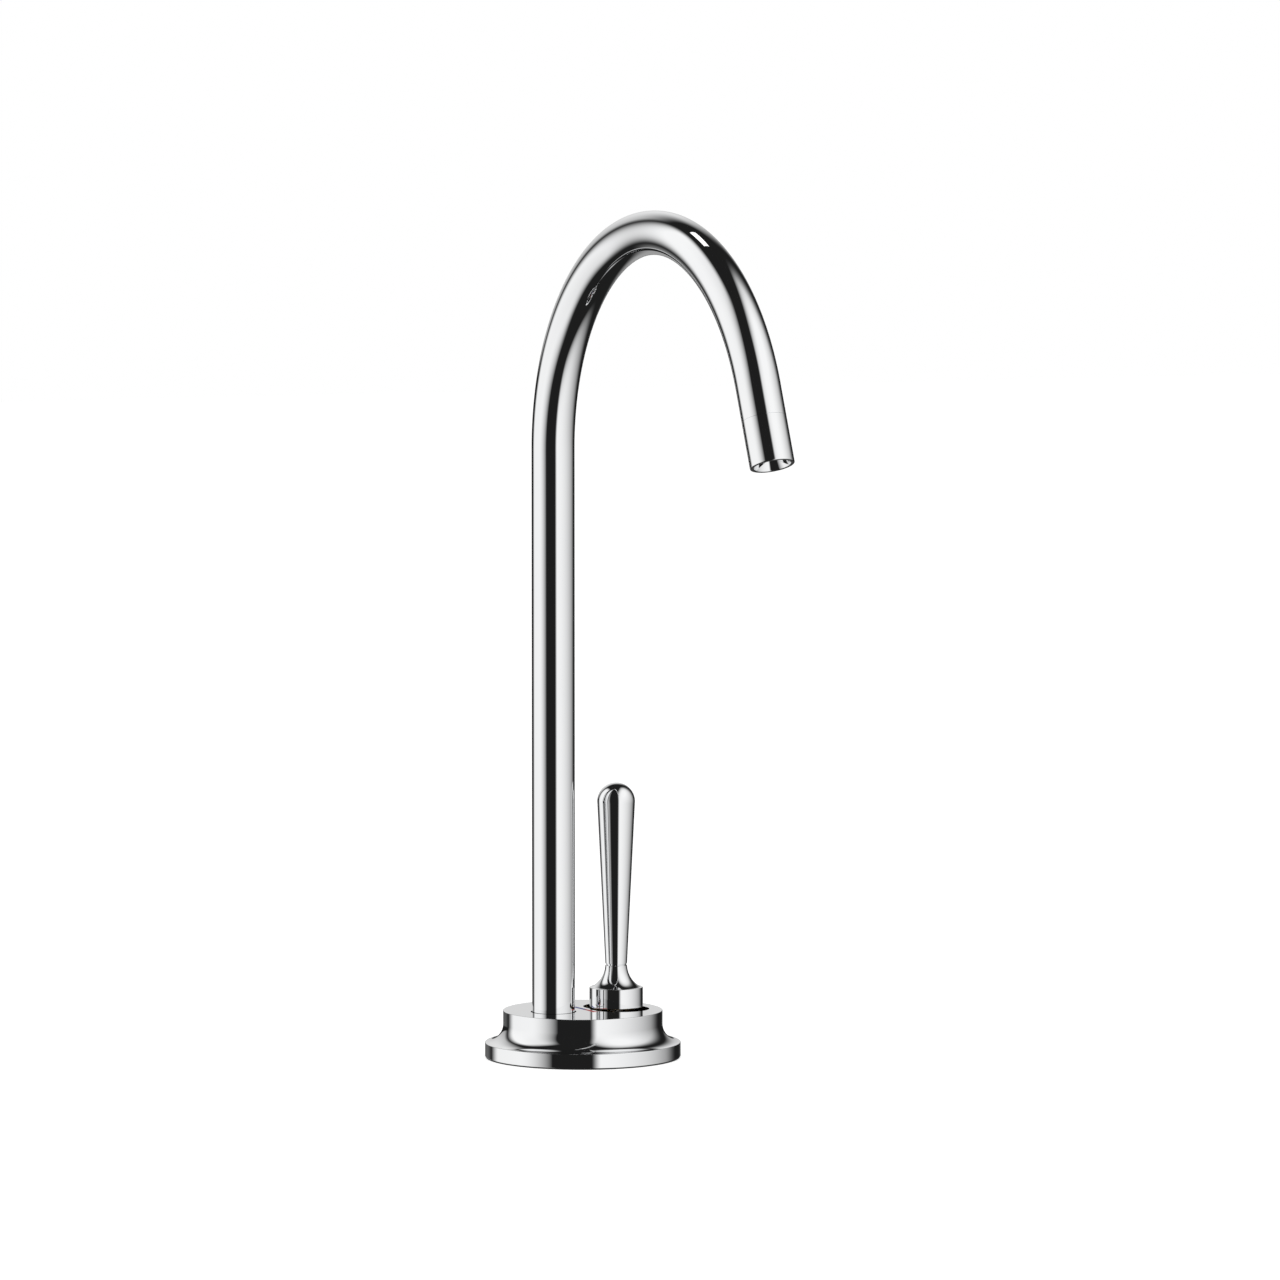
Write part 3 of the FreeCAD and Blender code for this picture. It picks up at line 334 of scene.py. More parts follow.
# %% Finish tools
def finish(name, build):
    """A material whose changing sockets are made by build(tree, place)."""
    material = bpy.data.materials.new(name)
    tree = Tree(material)
    place = tree.add("ShaderNodeTexCoord", output="Object")
    shader = tree.add("ShaderNodeBsdfPrincipled", None, build(tree, place))
    tree.add("ShaderNodeOutputMaterial", None, {"Surface": shader})
    return material


def noise(tree, place, scale, detail=3.0, distortion=0.0):
    inputs = {"Vector": place, "Scale": scale, "Detail": detail, "Distortion": distortion}
    return tree.add("ShaderNodeTexNoise", None, inputs, "Fac")


def blend(tree, mask, first, second):
    """A colour between two colours."""
    first, second = tuple(first) + (1,), tuple(second) + (1,)
    return tree.add("ShaderNodeMix", {"data_type": "RGBA"}, {0: mask, 6: first, 7: second}, 2)


def bump(tree, relief, depth):
    """Relief from 0 to 1 raised by a depth in millimetres."""
    return tree.add("ShaderNodeBump", None, {"Height": relief, "Distance": depth * MM}, "Normal")


print("a finish is made of noise, blends of two colours and bumps in mm")

# %% [markdown]
# ## Chrome and enamel
# Polished chrome is almost a perfect mirror. Close up it still has a trace of the polishing mop: a very faint
# haze that drifts over the piece. The enamel of the strip is a smooth colour that pooled a little in its
# groove. Scratches or fingerprints could be added too, but this tap is new.

# %% Chrome and enamel
CLEAR_CHROME, HAZED_CHROME = (0.88, 0.885, 0.89), (0.87, 0.875, 0.885)


def chrome(tree, place):
    haze = tree.smooth(noise(tree, place, scale=38.0), low=0.35, high=0.75)
    return {
        "Base Color": blend(tree, haze, CLEAR_CHROME, HAZED_CHROME),
        "Metallic": 1.0,
        "Roughness": 0.012 + 0.012 * haze,
    }


def enamel(thin, thick):
    def build(tree, place):
        pool = tree.smooth(noise(tree, place, scale=420.0), low=0.3, high=0.7)
        return {
            "Base Color": blend(tree, pool, thin, thick),
            "Roughness": 0.3 + 0.1 * pool,
            "Specular IOR Level": 0.1,
        }
    return build


chrome_finish = finish("polished_chrome", chrome)
blue_finish = finish("blue_enamel", enamel(thin=(0.02, 0.05, 0.42), thick=(0.015, 0.035, 0.34)))
red_finish = finish("red_enamel", enamel(thin=(0.66, 0.03, 0.03), thick=(0.56, 0.02, 0.02)))
print("finishes:", chrome_finish.name, blue_finish.name, red_finish.name)

# %% [markdown]
# ## Turned brass
# Brass that came off a lathe keeps fine rings from the tool, and with time it tarnishes in patches. Rings
# round the piece's own axis need a place that knows only the distance from that axis and the height, because
# a pattern on it can't change on the way round. A wave texture would make rings too, but all of one width.

# %% Turned brass
COLUMN_X, LEVER_X = -13.9, 15.9
BRIGHT_BRASS, TARNISHED_BRASS = (0.78, 0.6, 0.3), (0.62, 0.45, 0.2)


def vector_maths(tree, operation, *inputs, output="Vector"):
    return tree.add("ShaderNodeVectorMath", {"operation": operation}, dict(enumerate(inputs)), output)


def lathe_place(tree, place, axis_x):
    """The distance from an upright axis as X, and the height as Z."""
    centred = vector_maths(tree, "SUBTRACT", place, (axis_x * MM, 0, 0))
    flat = vector_maths(tree, "MULTIPLY", centred, (1, 1, 0))
    reach = vector_maths(tree, "LENGTH", flat, output="Value")
    upright = tree.add("ShaderNodeSeparateXYZ", None, {0: centred}, "Z")
    return tree.add("ShaderNodeCombineXYZ", None, {"X": reach, "Z": upright}, "Vector")


def turned_brass(axis_x):
    def build(tree, place):
        rings = noise(tree, lathe_place(tree, place, axis_x), scale=2600.0, detail=4.0)
        tarnish = tree.smooth(noise(tree, place, scale=90.0, detail=5.0), low=0.4, high=0.75)
        return {
            "Base Color": blend(tree, tarnish, BRIGHT_BRASS, TARNISHED_BRASS),
            "Metallic": 1.0,
            "Roughness": 0.2 + 0.14 * rings + 0.12 * tarnish,
            "Normal": bump(tree, rings, depth=0.012),
        }
    return build


spigot_brass = finish("turned_brass_spigot", turned_brass(COLUMN_X))
ring_nut_brass = finish("turned_brass_ring_nut", turned_brass(LEVER_X))
shank_brass = finish("turned_brass_shank", turned_brass(0.0))
print("turned about x =", COLUMN_X, LEVER_X, 0.0)

# %% [markdown]
# ## Cast brass and steel
# The casting that carries everything has the grain of its sand mould, so its bump is deep and its shine is
# dull. The steel parts are drawn wire and rolled sheet. Their marks run in one direction, so their noise is
# squeezed across that direction and left long in it.

# %% Cast brass and steel
CAST_BRASS, STAINED_BRASS = (0.7, 0.53, 0.27), (0.52, 0.38, 0.18)
BRIGHT_STEEL, DULL_STEEL = (0.66, 0.66, 0.67), (0.54, 0.545, 0.555)
STREAKS = (3500, 3500, 160)


def cast_brass(tree, place):
    grain = noise(tree, place, scale=1500.0, detail=5.0)
    stain = tree.smooth(noise(tree, place, scale=70.0, detail=4.0), low=0.35, high=0.75)
    return {
        "Base Color": blend(tree, stain, CAST_BRASS, STAINED_BRASS),
        "Metallic": 1.0,
        "Roughness": 0.42 + 0.18 * grain + 0.1 * stain,
        "Normal": bump(tree, grain, depth=0.07),
    }


def drawn_steel(tree, place):
    streaks = noise(tree, vector_maths(tree, "MULTIPLY", place, STREAKS), scale=1.0)
    dulled = tree.smooth(noise(tree, place, scale=160.0), low=0.4, high=0.7)
    return {
        "Base Color": blend(tree, dulled, BRIGHT_STEEL, DULL_STEEL),
        "Metallic": 1.0,
        "Roughness": 0.2 + 0.16 * streaks + 0.06 * dulled,
        "Normal": bump(tree, streaks, depth=0.006),
    }


cast_finish = finish("cast_brass", cast_brass)
steel_finish = finish("drawn_steel", drawn_steel)
print("finishes:", cast_finish.name, steel_finish.name)

# %% [markdown]
# ## Rubber and ceramic
# Rubber seals are matt and carry a little pale dust. The ceramic discs are lapped flat, so they almost shine,
# with a dull speck here and there. In both, one mask changes the colour and the roughness together, because a
# speck has another shade and another shine at the same place.

# %% Rubber and ceramic
CLEAN_RUBBER, DUSTY_RUBBER = (0.022, 0.022, 0.023), (0.075, 0.073, 0.07)
LAPPED_CERAMIC, CERAMIC_SPECK = (0.88, 0.88, 0.86), (0.76, 0.75, 0.71)


def rubber(tree, place):
    skin = noise(tree, place, scale=2200.0, detail=4.0)
    dust = tree.smooth(noise(tree, place, scale=240.0, detail=5.0), low=0.55, high=0.8)
    return {
        "Base Color": blend(tree, dust, CLEAN_RUBBER, DUSTY_RUBBER),
        "Roughness": 0.62 + 0.12 * skin + 0.14 * dust,
        "Normal": bump(tree, skin, depth=0.03),
    }


def lapped(tree, place):
    speck = tree.smooth(noise(tree, place, scale=1400.0, detail=2.0), low=0.62, high=0.72)
    return {
        "Base Color": blend(tree, speck, LAPPED_CERAMIC, CERAMIC_SPECK),
        "Roughness": 0.13 + 0.12 * speck,
    }


rubber_finish = finish("seal_rubber", rubber)
ceramic_finish = finish("lapped_ceramic", lapped)
print("finishes:", rubber_finish.name, ceramic_finish.name)

# %% [markdown]
# ## Plastic
# Moulded plastic shows the fine grain of its mould, and where it flowed it is a shade deeper, in bent
# streaks. Three colours of it differ only in their two shades and their shine, so one function makes them
# all.

# %% Plastic
FLOW_STREAKS = (60, 60, 220)


def moulded(light, deep, roughness):
    def build(tree, place):
        grain = noise(tree, place, scale=3200.0, detail=2.0)
        drawn_out = vector_maths(tree, "MULTIPLY", place, FLOW_STREAKS)
        streak = tree.smooth(noise(tree, drawn_out, scale=1.0, detail=2.0, distortion=1.2), low=0.4, high=0.7)
        return {
            "Base Color": blend(tree, streak, light, deep),
            "Roughness": roughness + 0.1 * grain + 0.05 * streak,
            "Normal": bump(tree, grain, depth=0.012),
        }
    return build


white_plastic = moulded(light=(0.86, 0.86, 0.84), deep=(0.8, 0.8, 0.78), roughness=0.36)
grey_plastic = moulded(light=(0.47, 0.48, 0.5), deep=(0.4, 0.41, 0.43), roughness=0.42)
black_plastic = moulded(light=(0.028, 0.028, 0.03), deep=(0.045, 0.045, 0.047), roughness=0.38)
white_finish = finish("white_moulded", white_plastic)
grey_finish = finish("grey_moulded", grey_plastic)
black_finish = finish("black_moulded", black_plastic)
print("finishes:", white_finish.name, grey_finish.name, black_finish.name)

# %% [markdown]
# ## Finishes on the solids
# Every solid came in with one plain material for its slot. Each gets its finish here, in the same slot, so
# the pieces that aren't rebuilt below look finished too. Turned brass goes by the piece, because its rings
# need to know their axis.

# %% Finishes on the solids
SLOT_FINISHES = {
    "chrome": chrome_finish, "blue_enamel": blue_finish, "red_enamel": red_finish, "brass": cast_finish,
    "steel": steel_finish, "black_rubber": rubber_finish, "white_plastic": white_finish,
    "grey_plastic": grey_finish, "black_plastic": black_finish, "white_ceramic": ceramic_finish,
}
TURNED_FINISHES = {
    "spout_spigot": spigot_brass, "cartridge_nut": ring_nut_brass,
    "mounting_nut": shank_brass, "threaded_shank": shank_brass,
}
slot_of = {entry["node"]: entry["material_slot"] for entry in frame["record"]["subparts"]}
for name, node in frame["nodes"].items():
    node.material_slots[0].material = TURNED_FINISHES.get(name, SLOT_FINISHES[slot_of[name]])
print("finished solids:", len(slot_of))

# %% [markdown]
# ## Profiles
# Most of the tap is turned on a lathe, so most of its skins are a profile spun round an axis. A mirror shows
# even a degree of error in a surface's direction. So every longer straight stretch of a profile gets a
# support point just inside each end, which keeps the flat part flat right up to the corner.

# %% Profiles
SUPPORT = 0.04
LONG_STRETCH = 6 * SUPPORT


def arc(centre, radius, start, end, steps=16):
    """Points of an arc in the profile's plane, angles in degrees."""
    points = []
    for step in range(steps + 1):
        angle = math.radians(start + (end - start) * step / steps)
        points.append((centre[0] + radius * math.cos(angle), centre[1] + radius * math.sin(angle)))
    return points


def supported(points):
    """The same closed profile with its support points."""
    result = []
    for start, end in zip(points, points[1:] + points[:1]):
        start, end = Vector(start), Vector(end)
        length = (end - start).length
        result.append(start)
        if length > LONG_STRETCH:
            inset = (end - start) / length * SUPPORT
            result += [start + inset, end - inset]
    return result


print("points of a supported square:", len(supported([(0, 0), (1, 0), (1, 1), (0, 1)])))

# %% [markdown]
# ## From a shape to a piece
# Shapes are worked in millimetres, as on a drawing, and become metres at the end. Polished faces are smooth,
# and only edges past 32 degrees stay sharp: a Bevel modifier could soften those too, but each profile here
# already has its own roundings. A piece then hides the solid that it stands for, hangs on what it moves with
# and gets what it is made of.

# %% From a shape to a piece
WELD = 1e-5
SHARP = math.radians(32)


def metre_mesh(name, shape):
    """Ends a shape in millimetres: its faces turned outward, its mesh in metres."""
    bmesh.ops.recalc_face_normals(shape, faces=shape.faces)
    bmesh.ops.scale(shape, vec=(MM, MM, MM), verts=shape.verts)
    mesh = bpy.data.meshes.new(name)
    shape.to_mesh(mesh)
    shape.free()
    return mesh


def dress(name, mesh, body, node, material):
    mesh.shade_smooth()
    mesh.set_sharp_from_angle(angle=SHARP)
    mesh.materials.clear()
    mesh.materials.append(material)
    piece = bpy.data.objects.new(name, mesh)
    scene.collection.objects.link(piece)
    if node:
        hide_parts(node)
    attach(piece, body)
    print(name, "faces:", len(mesh.polygons))


def new_piece(name, shape, body, node, material):
    bmesh.ops.remove_doubles(shape, verts=shape.verts, dist=WELD)
    dress(name, metre_mesh(name, shape), body, node, material)


print("sharp past", round(math.degrees(SHARP)), "degrees")

# %% [markdown]
# ## Turning
# A profile of radius and height is spun a full turn round an upright axis. The Screw modifier would do the
# same, but the spin operator gives a plain mesh at once, which can be cut or bent further.

# %% Turning
ROUND_STEPS = 192


def closed_line(shape, points):
    """A closed line through (radius, height) points."""
    verts = [shape.verts.new((radius, 0, z)) for radius, z in points]
    return verts + [shape.edges.new(pair) for pair in zip(verts, verts[1:] + verts[:1])]


def spin_ring(shape, line, steps):
    """A full turn round the upright axis. An edge that lies on the axis draws no face, so it is dropped."""
    bmesh.ops.spin(
        shape, geom=line, cent=(0, 0, 0), axis=(0, 0, 1), dvec=(0, 0, 0),
        angle=math.tau, steps=steps, use_merge=True, use_normal_flip=False, use_duplicate=False,
    )
    bmesh.ops.remove_doubles(shape, verts=shape.verts, dist=WELD)
    bmesh.ops.delete(shape, geom=[edge for edge in shape.edges if edge.is_wire], context="EDGES")


def turned(points, axis_x=0.0, steps=ROUND_STEPS):
    shape = bmesh.new()
    spin_ring(shape, closed_line(shape, supported(points)), steps)
    bmesh.ops.translate(shape, vec=(axis_x, 0, 0), verts=shape.verts)
    return shape


print("facets round a turned piece:", ROUND_STEPS)

# %% [markdown]
# ## Cutters
# Openings in a turned skin are cut out of it afterwards, because a spin can't make a hole beside its axis.
# Each cutter is a plug with the opening's outline: one face, drawn upwards.

# %% Cutters
def only(kind, items):
    """The vertices or the faces among what an operator returns."""
    return [item for item in items if isinstance(item, kind)]


def as_tool(name, shape):
    """A shape in millimetres as a plain object in the scene."""
    tool = bpy.data.objects.new(name, metre_mesh(name, shape))
    scene.collection.objects.link(tool)
    return tool


def upright_cutter(name, loop, bottom, top):
    """A plug with a given outline between two heights."""
    plug = bmesh.new()
    face = plug.faces.new([plug.verts.new((x, y, bottom)) for x, y in loop])
    grown = bmesh.ops.extrude_face_region(plug, geom=[face])["geom"]
    bmesh.ops.translate(plug, vec=(0, 0, top - bottom), verts=only(bmesh.types.BMVert, grown))
    return as_tool(name, plug)


print("cutters are plugs of an outline between two heights")

# %% [markdown]
# ## Carving
# The cut is a Boolean modifier for each cutter, of which only the resulting mesh is kept. Its exact solver
# copes with the flat faces that meet here, where the fast one may fail. It can leave slivers of no area,
# which a last clean-up dissolves.

# %% Carving
SLIVER = 1e-7


def carved(name, shape, cutters):
    """The mesh that is left of a shape when the cutters are taken away."""
    blank = as_tool(name, shape)
    for tool in cutters:
        cut = blank.modifiers.new(tool.name, "BOOLEAN")
        cut.operation = "DIFFERENCE"
        cut.solver = "EXACT"
        cut.object = tool
    mesh = bpy.data.meshes.new_from_object(blank.evaluated_get(bpy.context.evaluated_depsgraph_get()))
    for tool in cutters + [blank]:
        bpy.data.objects.remove(tool)
    cleaned = bmesh.new()
    cleaned.from_mesh(mesh)
    bmesh.ops.dissolve_degenerate(cleaned, dist=SLIVER, edges=cleaned.edges)
    cleaned.to_mesh(mesh)
    cleaned.free()
    return mesh


print("slivers shorter than", SLIVER, "m are dissolved")

# %% [markdown]
# ## Base profile
# The base is one turning: a drum whose side runs out in a cove, a quarter of a circle, to a flat rim. The rim
# starts a little above the worktop, over the lip of its seal. More facets than elsewhere go round it, because
# the broad dark and light bands on the cove would show their corners first.

# %% Base profile
DECK_Z, DECK_R, DECK_WALL = 20.0, 33.65, 2.6
RIM_R, RIM_Z = 41.3, 6.5
COVE, COVE_START = RIM_R - DECK_R, 267.7
SHELL_WALL, ROUNDING = 3.0, 0.3
SEAL_INNER, SEAL_OUTER, SEAL_TOP, SEAL_LIP = 35.0, 38.4, 1.6, 0.45
BASE_STEPS = 288

inside_r = DECK_R - SHELL_WALL
base_profile = [
    (inside_r, 0.0), (SEAL_INNER, 0.0), (SEAL_INNER, SEAL_TOP), (SEAL_OUTER, SEAL_TOP), (SEAL_OUTER, SEAL_LIP),
]
base_profile += arc((RIM_R - ROUNDING, SEAL_LIP + ROUNDING), ROUNDING, -90, 0, steps=6)
base_profile += arc((RIM_R - ROUNDING, RIM_Z - ROUNDING), ROUNDING, 0, 90, steps=8)
base_profile += arc((RIM_R, RIM_Z + COVE), COVE, COVE_START, 180, steps=72)
base_profile += arc((DECK_R - ROUNDING, DECK_Z - ROUNDING), ROUNDING, 0, 90, steps=8)
base_profile += [(0, DECK_Z), (0, DECK_Z - DECK_WALL), (inside_r, DECK_Z - DECK_WALL)]
print("base profile points:", len(base_profile))

# %% [markdown]
# ## Openings in the deck
# The deck is a dead flat mirror with a round hole for the column, an oval slot for the lever and a shallow
# groove for the coloured strip. The slot is longer than it is wide, because the lever tilts along it.

# %% Openings in the deck
HOLE_R = 9.6
SLOT_HALF_WIDTH, SLOT_HALF_LENGTH = 11.9, 16.4
STRIP_X, STRIP_HALF, STRIP_REACH, STRIP_DEPTH = 1.0, 1.0, 9.8, 0.5
OVERCUT = 1

slot_middle = SLOT_HALF_LENGTH - SLOT_HALF_WIDTH
hole_loop = arc((COLUMN_X, 0), HOLE_R, 0, 360, steps=160)[:-1]
slot_loop = arc((LEVER_X, slot_middle), SLOT_HALF_WIDTH, 0, 180, steps=80)
slot_loop += arc((LEVER_X, -slot_middle), SLOT_HALF_WIDTH, 180, 360, steps=80)
strip_loop = [
    (STRIP_X - STRIP_HALF, -STRIP_REACH), (STRIP_X + STRIP_HALF, -STRIP_REACH),
    (STRIP_X + STRIP_HALF, STRIP_REACH), (STRIP_X - STRIP_HALF, STRIP_REACH),
]
under_deck, over_deck = DECK_Z - DECK_WALL - OVERCUT, DECK_Z + OVERCUT
deck_cutters = [
    upright_cutter("hole_cutter", hole_loop, under_deck, over_deck),
    upright_cutter("slot_cutter", slot_loop, under_deck, over_deck),
    upright_cutter("strip_cutter", strip_loop, DECK_Z - STRIP_DEPTH, over_deck),
]
base_mesh = carved("base_skin", turned(base_profile, steps=BASE_STEPS), deck_cutters)
dress("base_skin", base_mesh, "base", "base_rosette", chrome_finish)

# %% [markdown]
# ## Seal under the rim
# A rubber ring lies in a groove under the rim and keeps water out of the worktop's hole. Its thin lip runs
# out almost to the edge, so it shows as a dark hairline where the tap meets the worktop. A painted line would
# do from here, but not from below, so the ring is turned as the base is.

# %% Seal under the rim
SEAL_GAP, SEAL_REACH, SEAL_STEPS = 0.05, 40.9, 144

seal_inner, seal_outer, lip_top = SEAL_INNER + SEAL_GAP, SEAL_OUTER - SEAL_GAP, SEAL_LIP - SEAL_GAP
seal_profile = [
    (seal_inner, 0.0), (SEAL_REACH, 0.0), (SEAL_REACH, lip_top),
    (seal_outer, lip_top), (seal_outer, SEAL_TOP), (seal_inner, SEAL_TOP),
]
seal = turned(seal_profile, steps=SEAL_STEPS)
new_piece("seal_skin", seal, "base", "base_gasket", rubber_finish)

# %% [markdown]
# ## Enamelled strip
# The strip lies midway between column and lever, blue behind and red in front. Wet enamel is run into the
# groove, fired and polished level with the deck, which rounds its edges a little. So each half is a bar with
# only its upper edges bevelled.

# %% Enamelled strip
ENAMEL_EDGE = 0.06


def enamel_bar(name, node, material, front, back):
    bar = bmesh.new()
    bmesh.ops.create_cube(bar, size=1.0)
    bmesh.ops.scale(bar, vec=(2 * STRIP_HALF, back - front, STRIP_DEPTH), verts=bar.verts)
    bmesh.ops.translate(bar, vec=(STRIP_X, (front + back) / 2, DECK_Z - STRIP_DEPTH / 2), verts=bar.verts)
    upper = [edge for edge in bar.edges if all(vert.co.z > DECK_Z - ENAMEL_EDGE for vert in edge.verts)]
    bmesh.ops.bevel(bar, geom=upper, offset=ENAMEL_EDGE, segments=3, profile=0.5, affect="EDGES", material=-1)
    new_piece(name, bar, "base", node, material)


enamel_bar("cold_enamel", "cold_mark", blue_finish, front=0, back=STRIP_REACH)
enamel_bar("hot_enamel", "hot_mark", red_finish, front=-STRIP_REACH, back=0)

# %% [markdown]
# ## Screw posts
# Two posts hang from the underside of the base. The screws that hold the base to its casting run up into
# them. Each post is spun in the middle and then pushed out to its own side, so both come from one profile.

# %% Screw posts
POST_R, POST_FOOT, POST_Y, POST_STEPS = 3.6, 3.0, 24.0, 48
SCREW_R, SCREW_TOP = 2.05, 11.3

ceiling = DECK_Z - DECK_WALL
post_profile = [
    (SCREW_R, POST_FOOT), (POST_R, POST_FOOT), (POST_R, ceiling),
    (0, ceiling), (0, SCREW_TOP), (SCREW_R, SCREW_TOP),
]
posts = bmesh.new()
for side in (-1, 1):
    spin_ring(posts, closed_line(posts, post_profile), POST_STEPS)
    newest = [vert for vert in posts.verts if abs(vert.co.y) < POST_Y / 2]
    bmesh.ops.translate(posts, vec=(0, side * POST_Y, 0), verts=newest)
new_piece("base_posts", posts, "base", None, chrome_finish)

# %% [markdown]
# ## Path of the spout
# The column and the swan neck are one bent tube: straight up, round most of a half circle, and straight on to
# the nozzle. The bend lies in the plane of Y and Z, so the middle of the mouth follows from its radius and
# its sweep. A bevelled curve could follow this path as well, but it would only come close to the circle.

# %% Path of the spout
TUBE_FOOT, BEND_Z, BEND_R, SWEEP = 12.6, 257.4, 91.8, 159.3
OUTLET, SLEEVE = 33.2, 19.4

sweep = math.radians(SWEEP)
flow = Vector((0, -math.sin(sweep), math.cos(sweep)))
mouth = Vector((COLUMN_X, -BEND_R * (1 - math.cos(sweep)), BEND_Z + BEND_R * math.sin(sweep))) + flow * OUTLET
print("middle of the mouth in mm:", [round(value, 1) for value in mouth])

# %% [markdown]
# ## Spout
# Two circles are bridged into a ring, the tube's wall seen from below. That ring is drawn up the column, spun
# round the centre of the bend and drawn on to the nozzle, so the wall has its inside and its outside from the
# start. Each straight length has a short stretch at both ends, which keeps the shading of the bend out of it.

# %% Spout
TUBE_R, TUBE_WALL = 9.0, 1.2
TUBE_STEPS, BEND_STEPS = 144, 180
STRAIGHT_END = 0.5


def edges_of(faces):
    return list({edge for face in faces for edge in face.edges})


def drawn_on(shape, wall, move):
    """Extrudes a ring of faces and returns the new ring. Without its edges the old faces would stay inside."""
    grown = bmesh.ops.extrude_face_region(shape, geom=wall + edges_of(wall))["geom"]
    bmesh.ops.translate(shape, vec=move, verts=only(bmesh.types.BMVert, grown))
    return only(bmesh.types.BMFace, grown)


tube = bmesh.new()
for radius in (TUBE_R, TUBE_R - TUBE_WALL):
    bmesh.ops.create_circle(tube, segments=TUBE_STEPS, radius=radius, cap_ends=False)
wall = bmesh.ops.bridge_loops(tube, edges=tube.edges[:])["faces"]
bmesh.ops.translate(tube, vec=(COLUMN_X, 0, TUBE_FOOT), verts=tube.verts)
for rise in (STRAIGHT_END, BEND_Z - TUBE_FOOT - 2 * STRAIGHT_END, STRAIGHT_END):
    wall = drawn_on(tube, wall, (0, 0, rise))
corners = list({vert for face in wall for vert in face.verts})
bent = bmesh.ops.spin(
    tube, geom=corners + edges_of(wall) + wall, cent=(COLUMN_X, -BEND_R, BEND_Z), axis=(1, 0, 0),
    dvec=(0, 0, 0), angle=sweep, steps=BEND_STEPS,
    use_merge=False, use_normal_flip=False, use_duplicate=False,
)["geom_last"]
wall = only(bmesh.types.BMFace, bent)
for reach in (STRAIGHT_END, OUTLET - SLEEVE - 2 * STRAIGHT_END, STRAIGHT_END):
    wall = drawn_on(tube, wall, flow * reach)
new_piece("spout_skin", tube, "spout", "spout_tube", chrome_finish)

# %% [markdown]
# ## Nozzle profile
# The nozzle is a sleeve of the tube's own diameter. Its upper edge has a hair of a chamfer, which draws the
# fine seam, and a plug with an O-ring groove goes up into the tube. Its lip is rounded and runs into a
# polished cone, at the top of which the jet insert sits. All heights count from the lip.

# %% Nozzle profile
SEAM = 0.15
PLUG_R, PLUG_LENGTH = 7.75, 8.6
RING_GROOVE_R, RING_GROOVE_FOOT, RING_GROOVE_TOP = 7.1, 3.5, 5.1
MOUTH_R, MOUTH_TAPER = 7.5, math.radians(16)
INSERT_DEPTH, INSERT_TOP, SLEEVE_BORE = 5.0, 14.0, 4.6

cone_turn = math.cos(MOUTH_TAPER)
lip_r = (ROUNDING + cone_turn * MOUTH_R - math.sin(MOUTH_TAPER) * ROUNDING) / cone_turn
insert_r = MOUTH_R - INSERT_DEPTH * math.tan(MOUTH_TAPER)
groove_foot, groove_top, plug_top = SLEEVE + RING_GROOVE_FOOT, SLEEVE + RING_GROOVE_TOP, SLEEVE + PLUG_LENGTH
sleeve_profile = arc((lip_r, ROUNDING), ROUNDING, 180 + math.degrees(MOUTH_TAPER), 270, steps=8)
sleeve_profile += arc((TUBE_R - ROUNDING, ROUNDING), ROUNDING, 270, 360, steps=6)
sleeve_profile += [(TUBE_R, SLEEVE - SEAM), (TUBE_R - SEAM, SLEEVE), (PLUG_R, SLEEVE)]
sleeve_profile += [
    (PLUG_R, groove_foot), (RING_GROOVE_R, groove_foot), (RING_GROOVE_R, groove_top), (PLUG_R, groove_top),
    (PLUG_R, plug_top), (SLEEVE_BORE, plug_top), (SLEEVE_BORE, INSERT_TOP),
    (insert_r, INSERT_TOP), (insert_r, INSERT_DEPTH),
]
print("nozzle profile points:", len(sleeve_profile))

# %% [markdown]
# ## Nozzle
# The sleeve is turned upright, with its lip down, and then swung onto the end of the spout. The swing goes
# into the mesh and not into the object, so the piece itself stays at the origin like all the others.

# %% Nozzle
sleeve = turned(sleeve_profile, steps=TUBE_STEPS)
lean = Matrix.Translation(mouth) @ Matrix.Rotation(sweep - math.pi, 4, "X")
bmesh.ops.transform(sleeve, matrix=lean, verts=sleeve.verts)
new_piece("nozzle_skin", sleeve, "spout", "nozzle_sleeve", chrome_finish)

# %% [markdown]
# ## Hub profile
# The lever's hub is a short drum with a small shoulder, from which a bell-shaped neck rises to the joint.
# Inside, a boss takes the steel stem from below and a stud joins the grip from above. The bell is one hollow
# arc between two points of the drawing, so its centre is worked out from its radius.

# %% Hub profile
HUB_R, HUB_Z, HUB_TOP = 11.3, 20.3, 28.8
SHOULDER_R, BELL_R, BELL_STEPS = 10.3, 10.9, 48
NECK_R, NECK_LENGTH, V_GROOVE = 4.6, 9.2, 0.45
JOINT_Z = HUB_TOP + NECK_LENGTH + V_GROOVE
STUD_R, STUD_DEPTH = 2.05, 5.7
STEM_R, STEM_TOP = 2.55, 31.1
BOSS_R, BOSS_FOOT = 5.0, 22.0
HOLLOW_R, HOLLOW_TOP = 9.3, 24.6


def arc_between(start, end, radius, steps):
    """The hollow arc of a radius from start up to end, its centre outside the turning."""
    start, end = Vector(start), Vector(end)
    middle, chord = (start + end) / 2, end - start
    outwards = Vector((chord.y, -chord.x)).normalized()
    centre = middle + outwards * math.sqrt(radius**2 - (chord.length / 2) ** 2)
    angles = [math.degrees(math.atan2(point.y - centre.y, point.x - centre.x)) % 360 for point in (start, end)]
    return arc(centre, radius, angles[0], angles[1], steps)


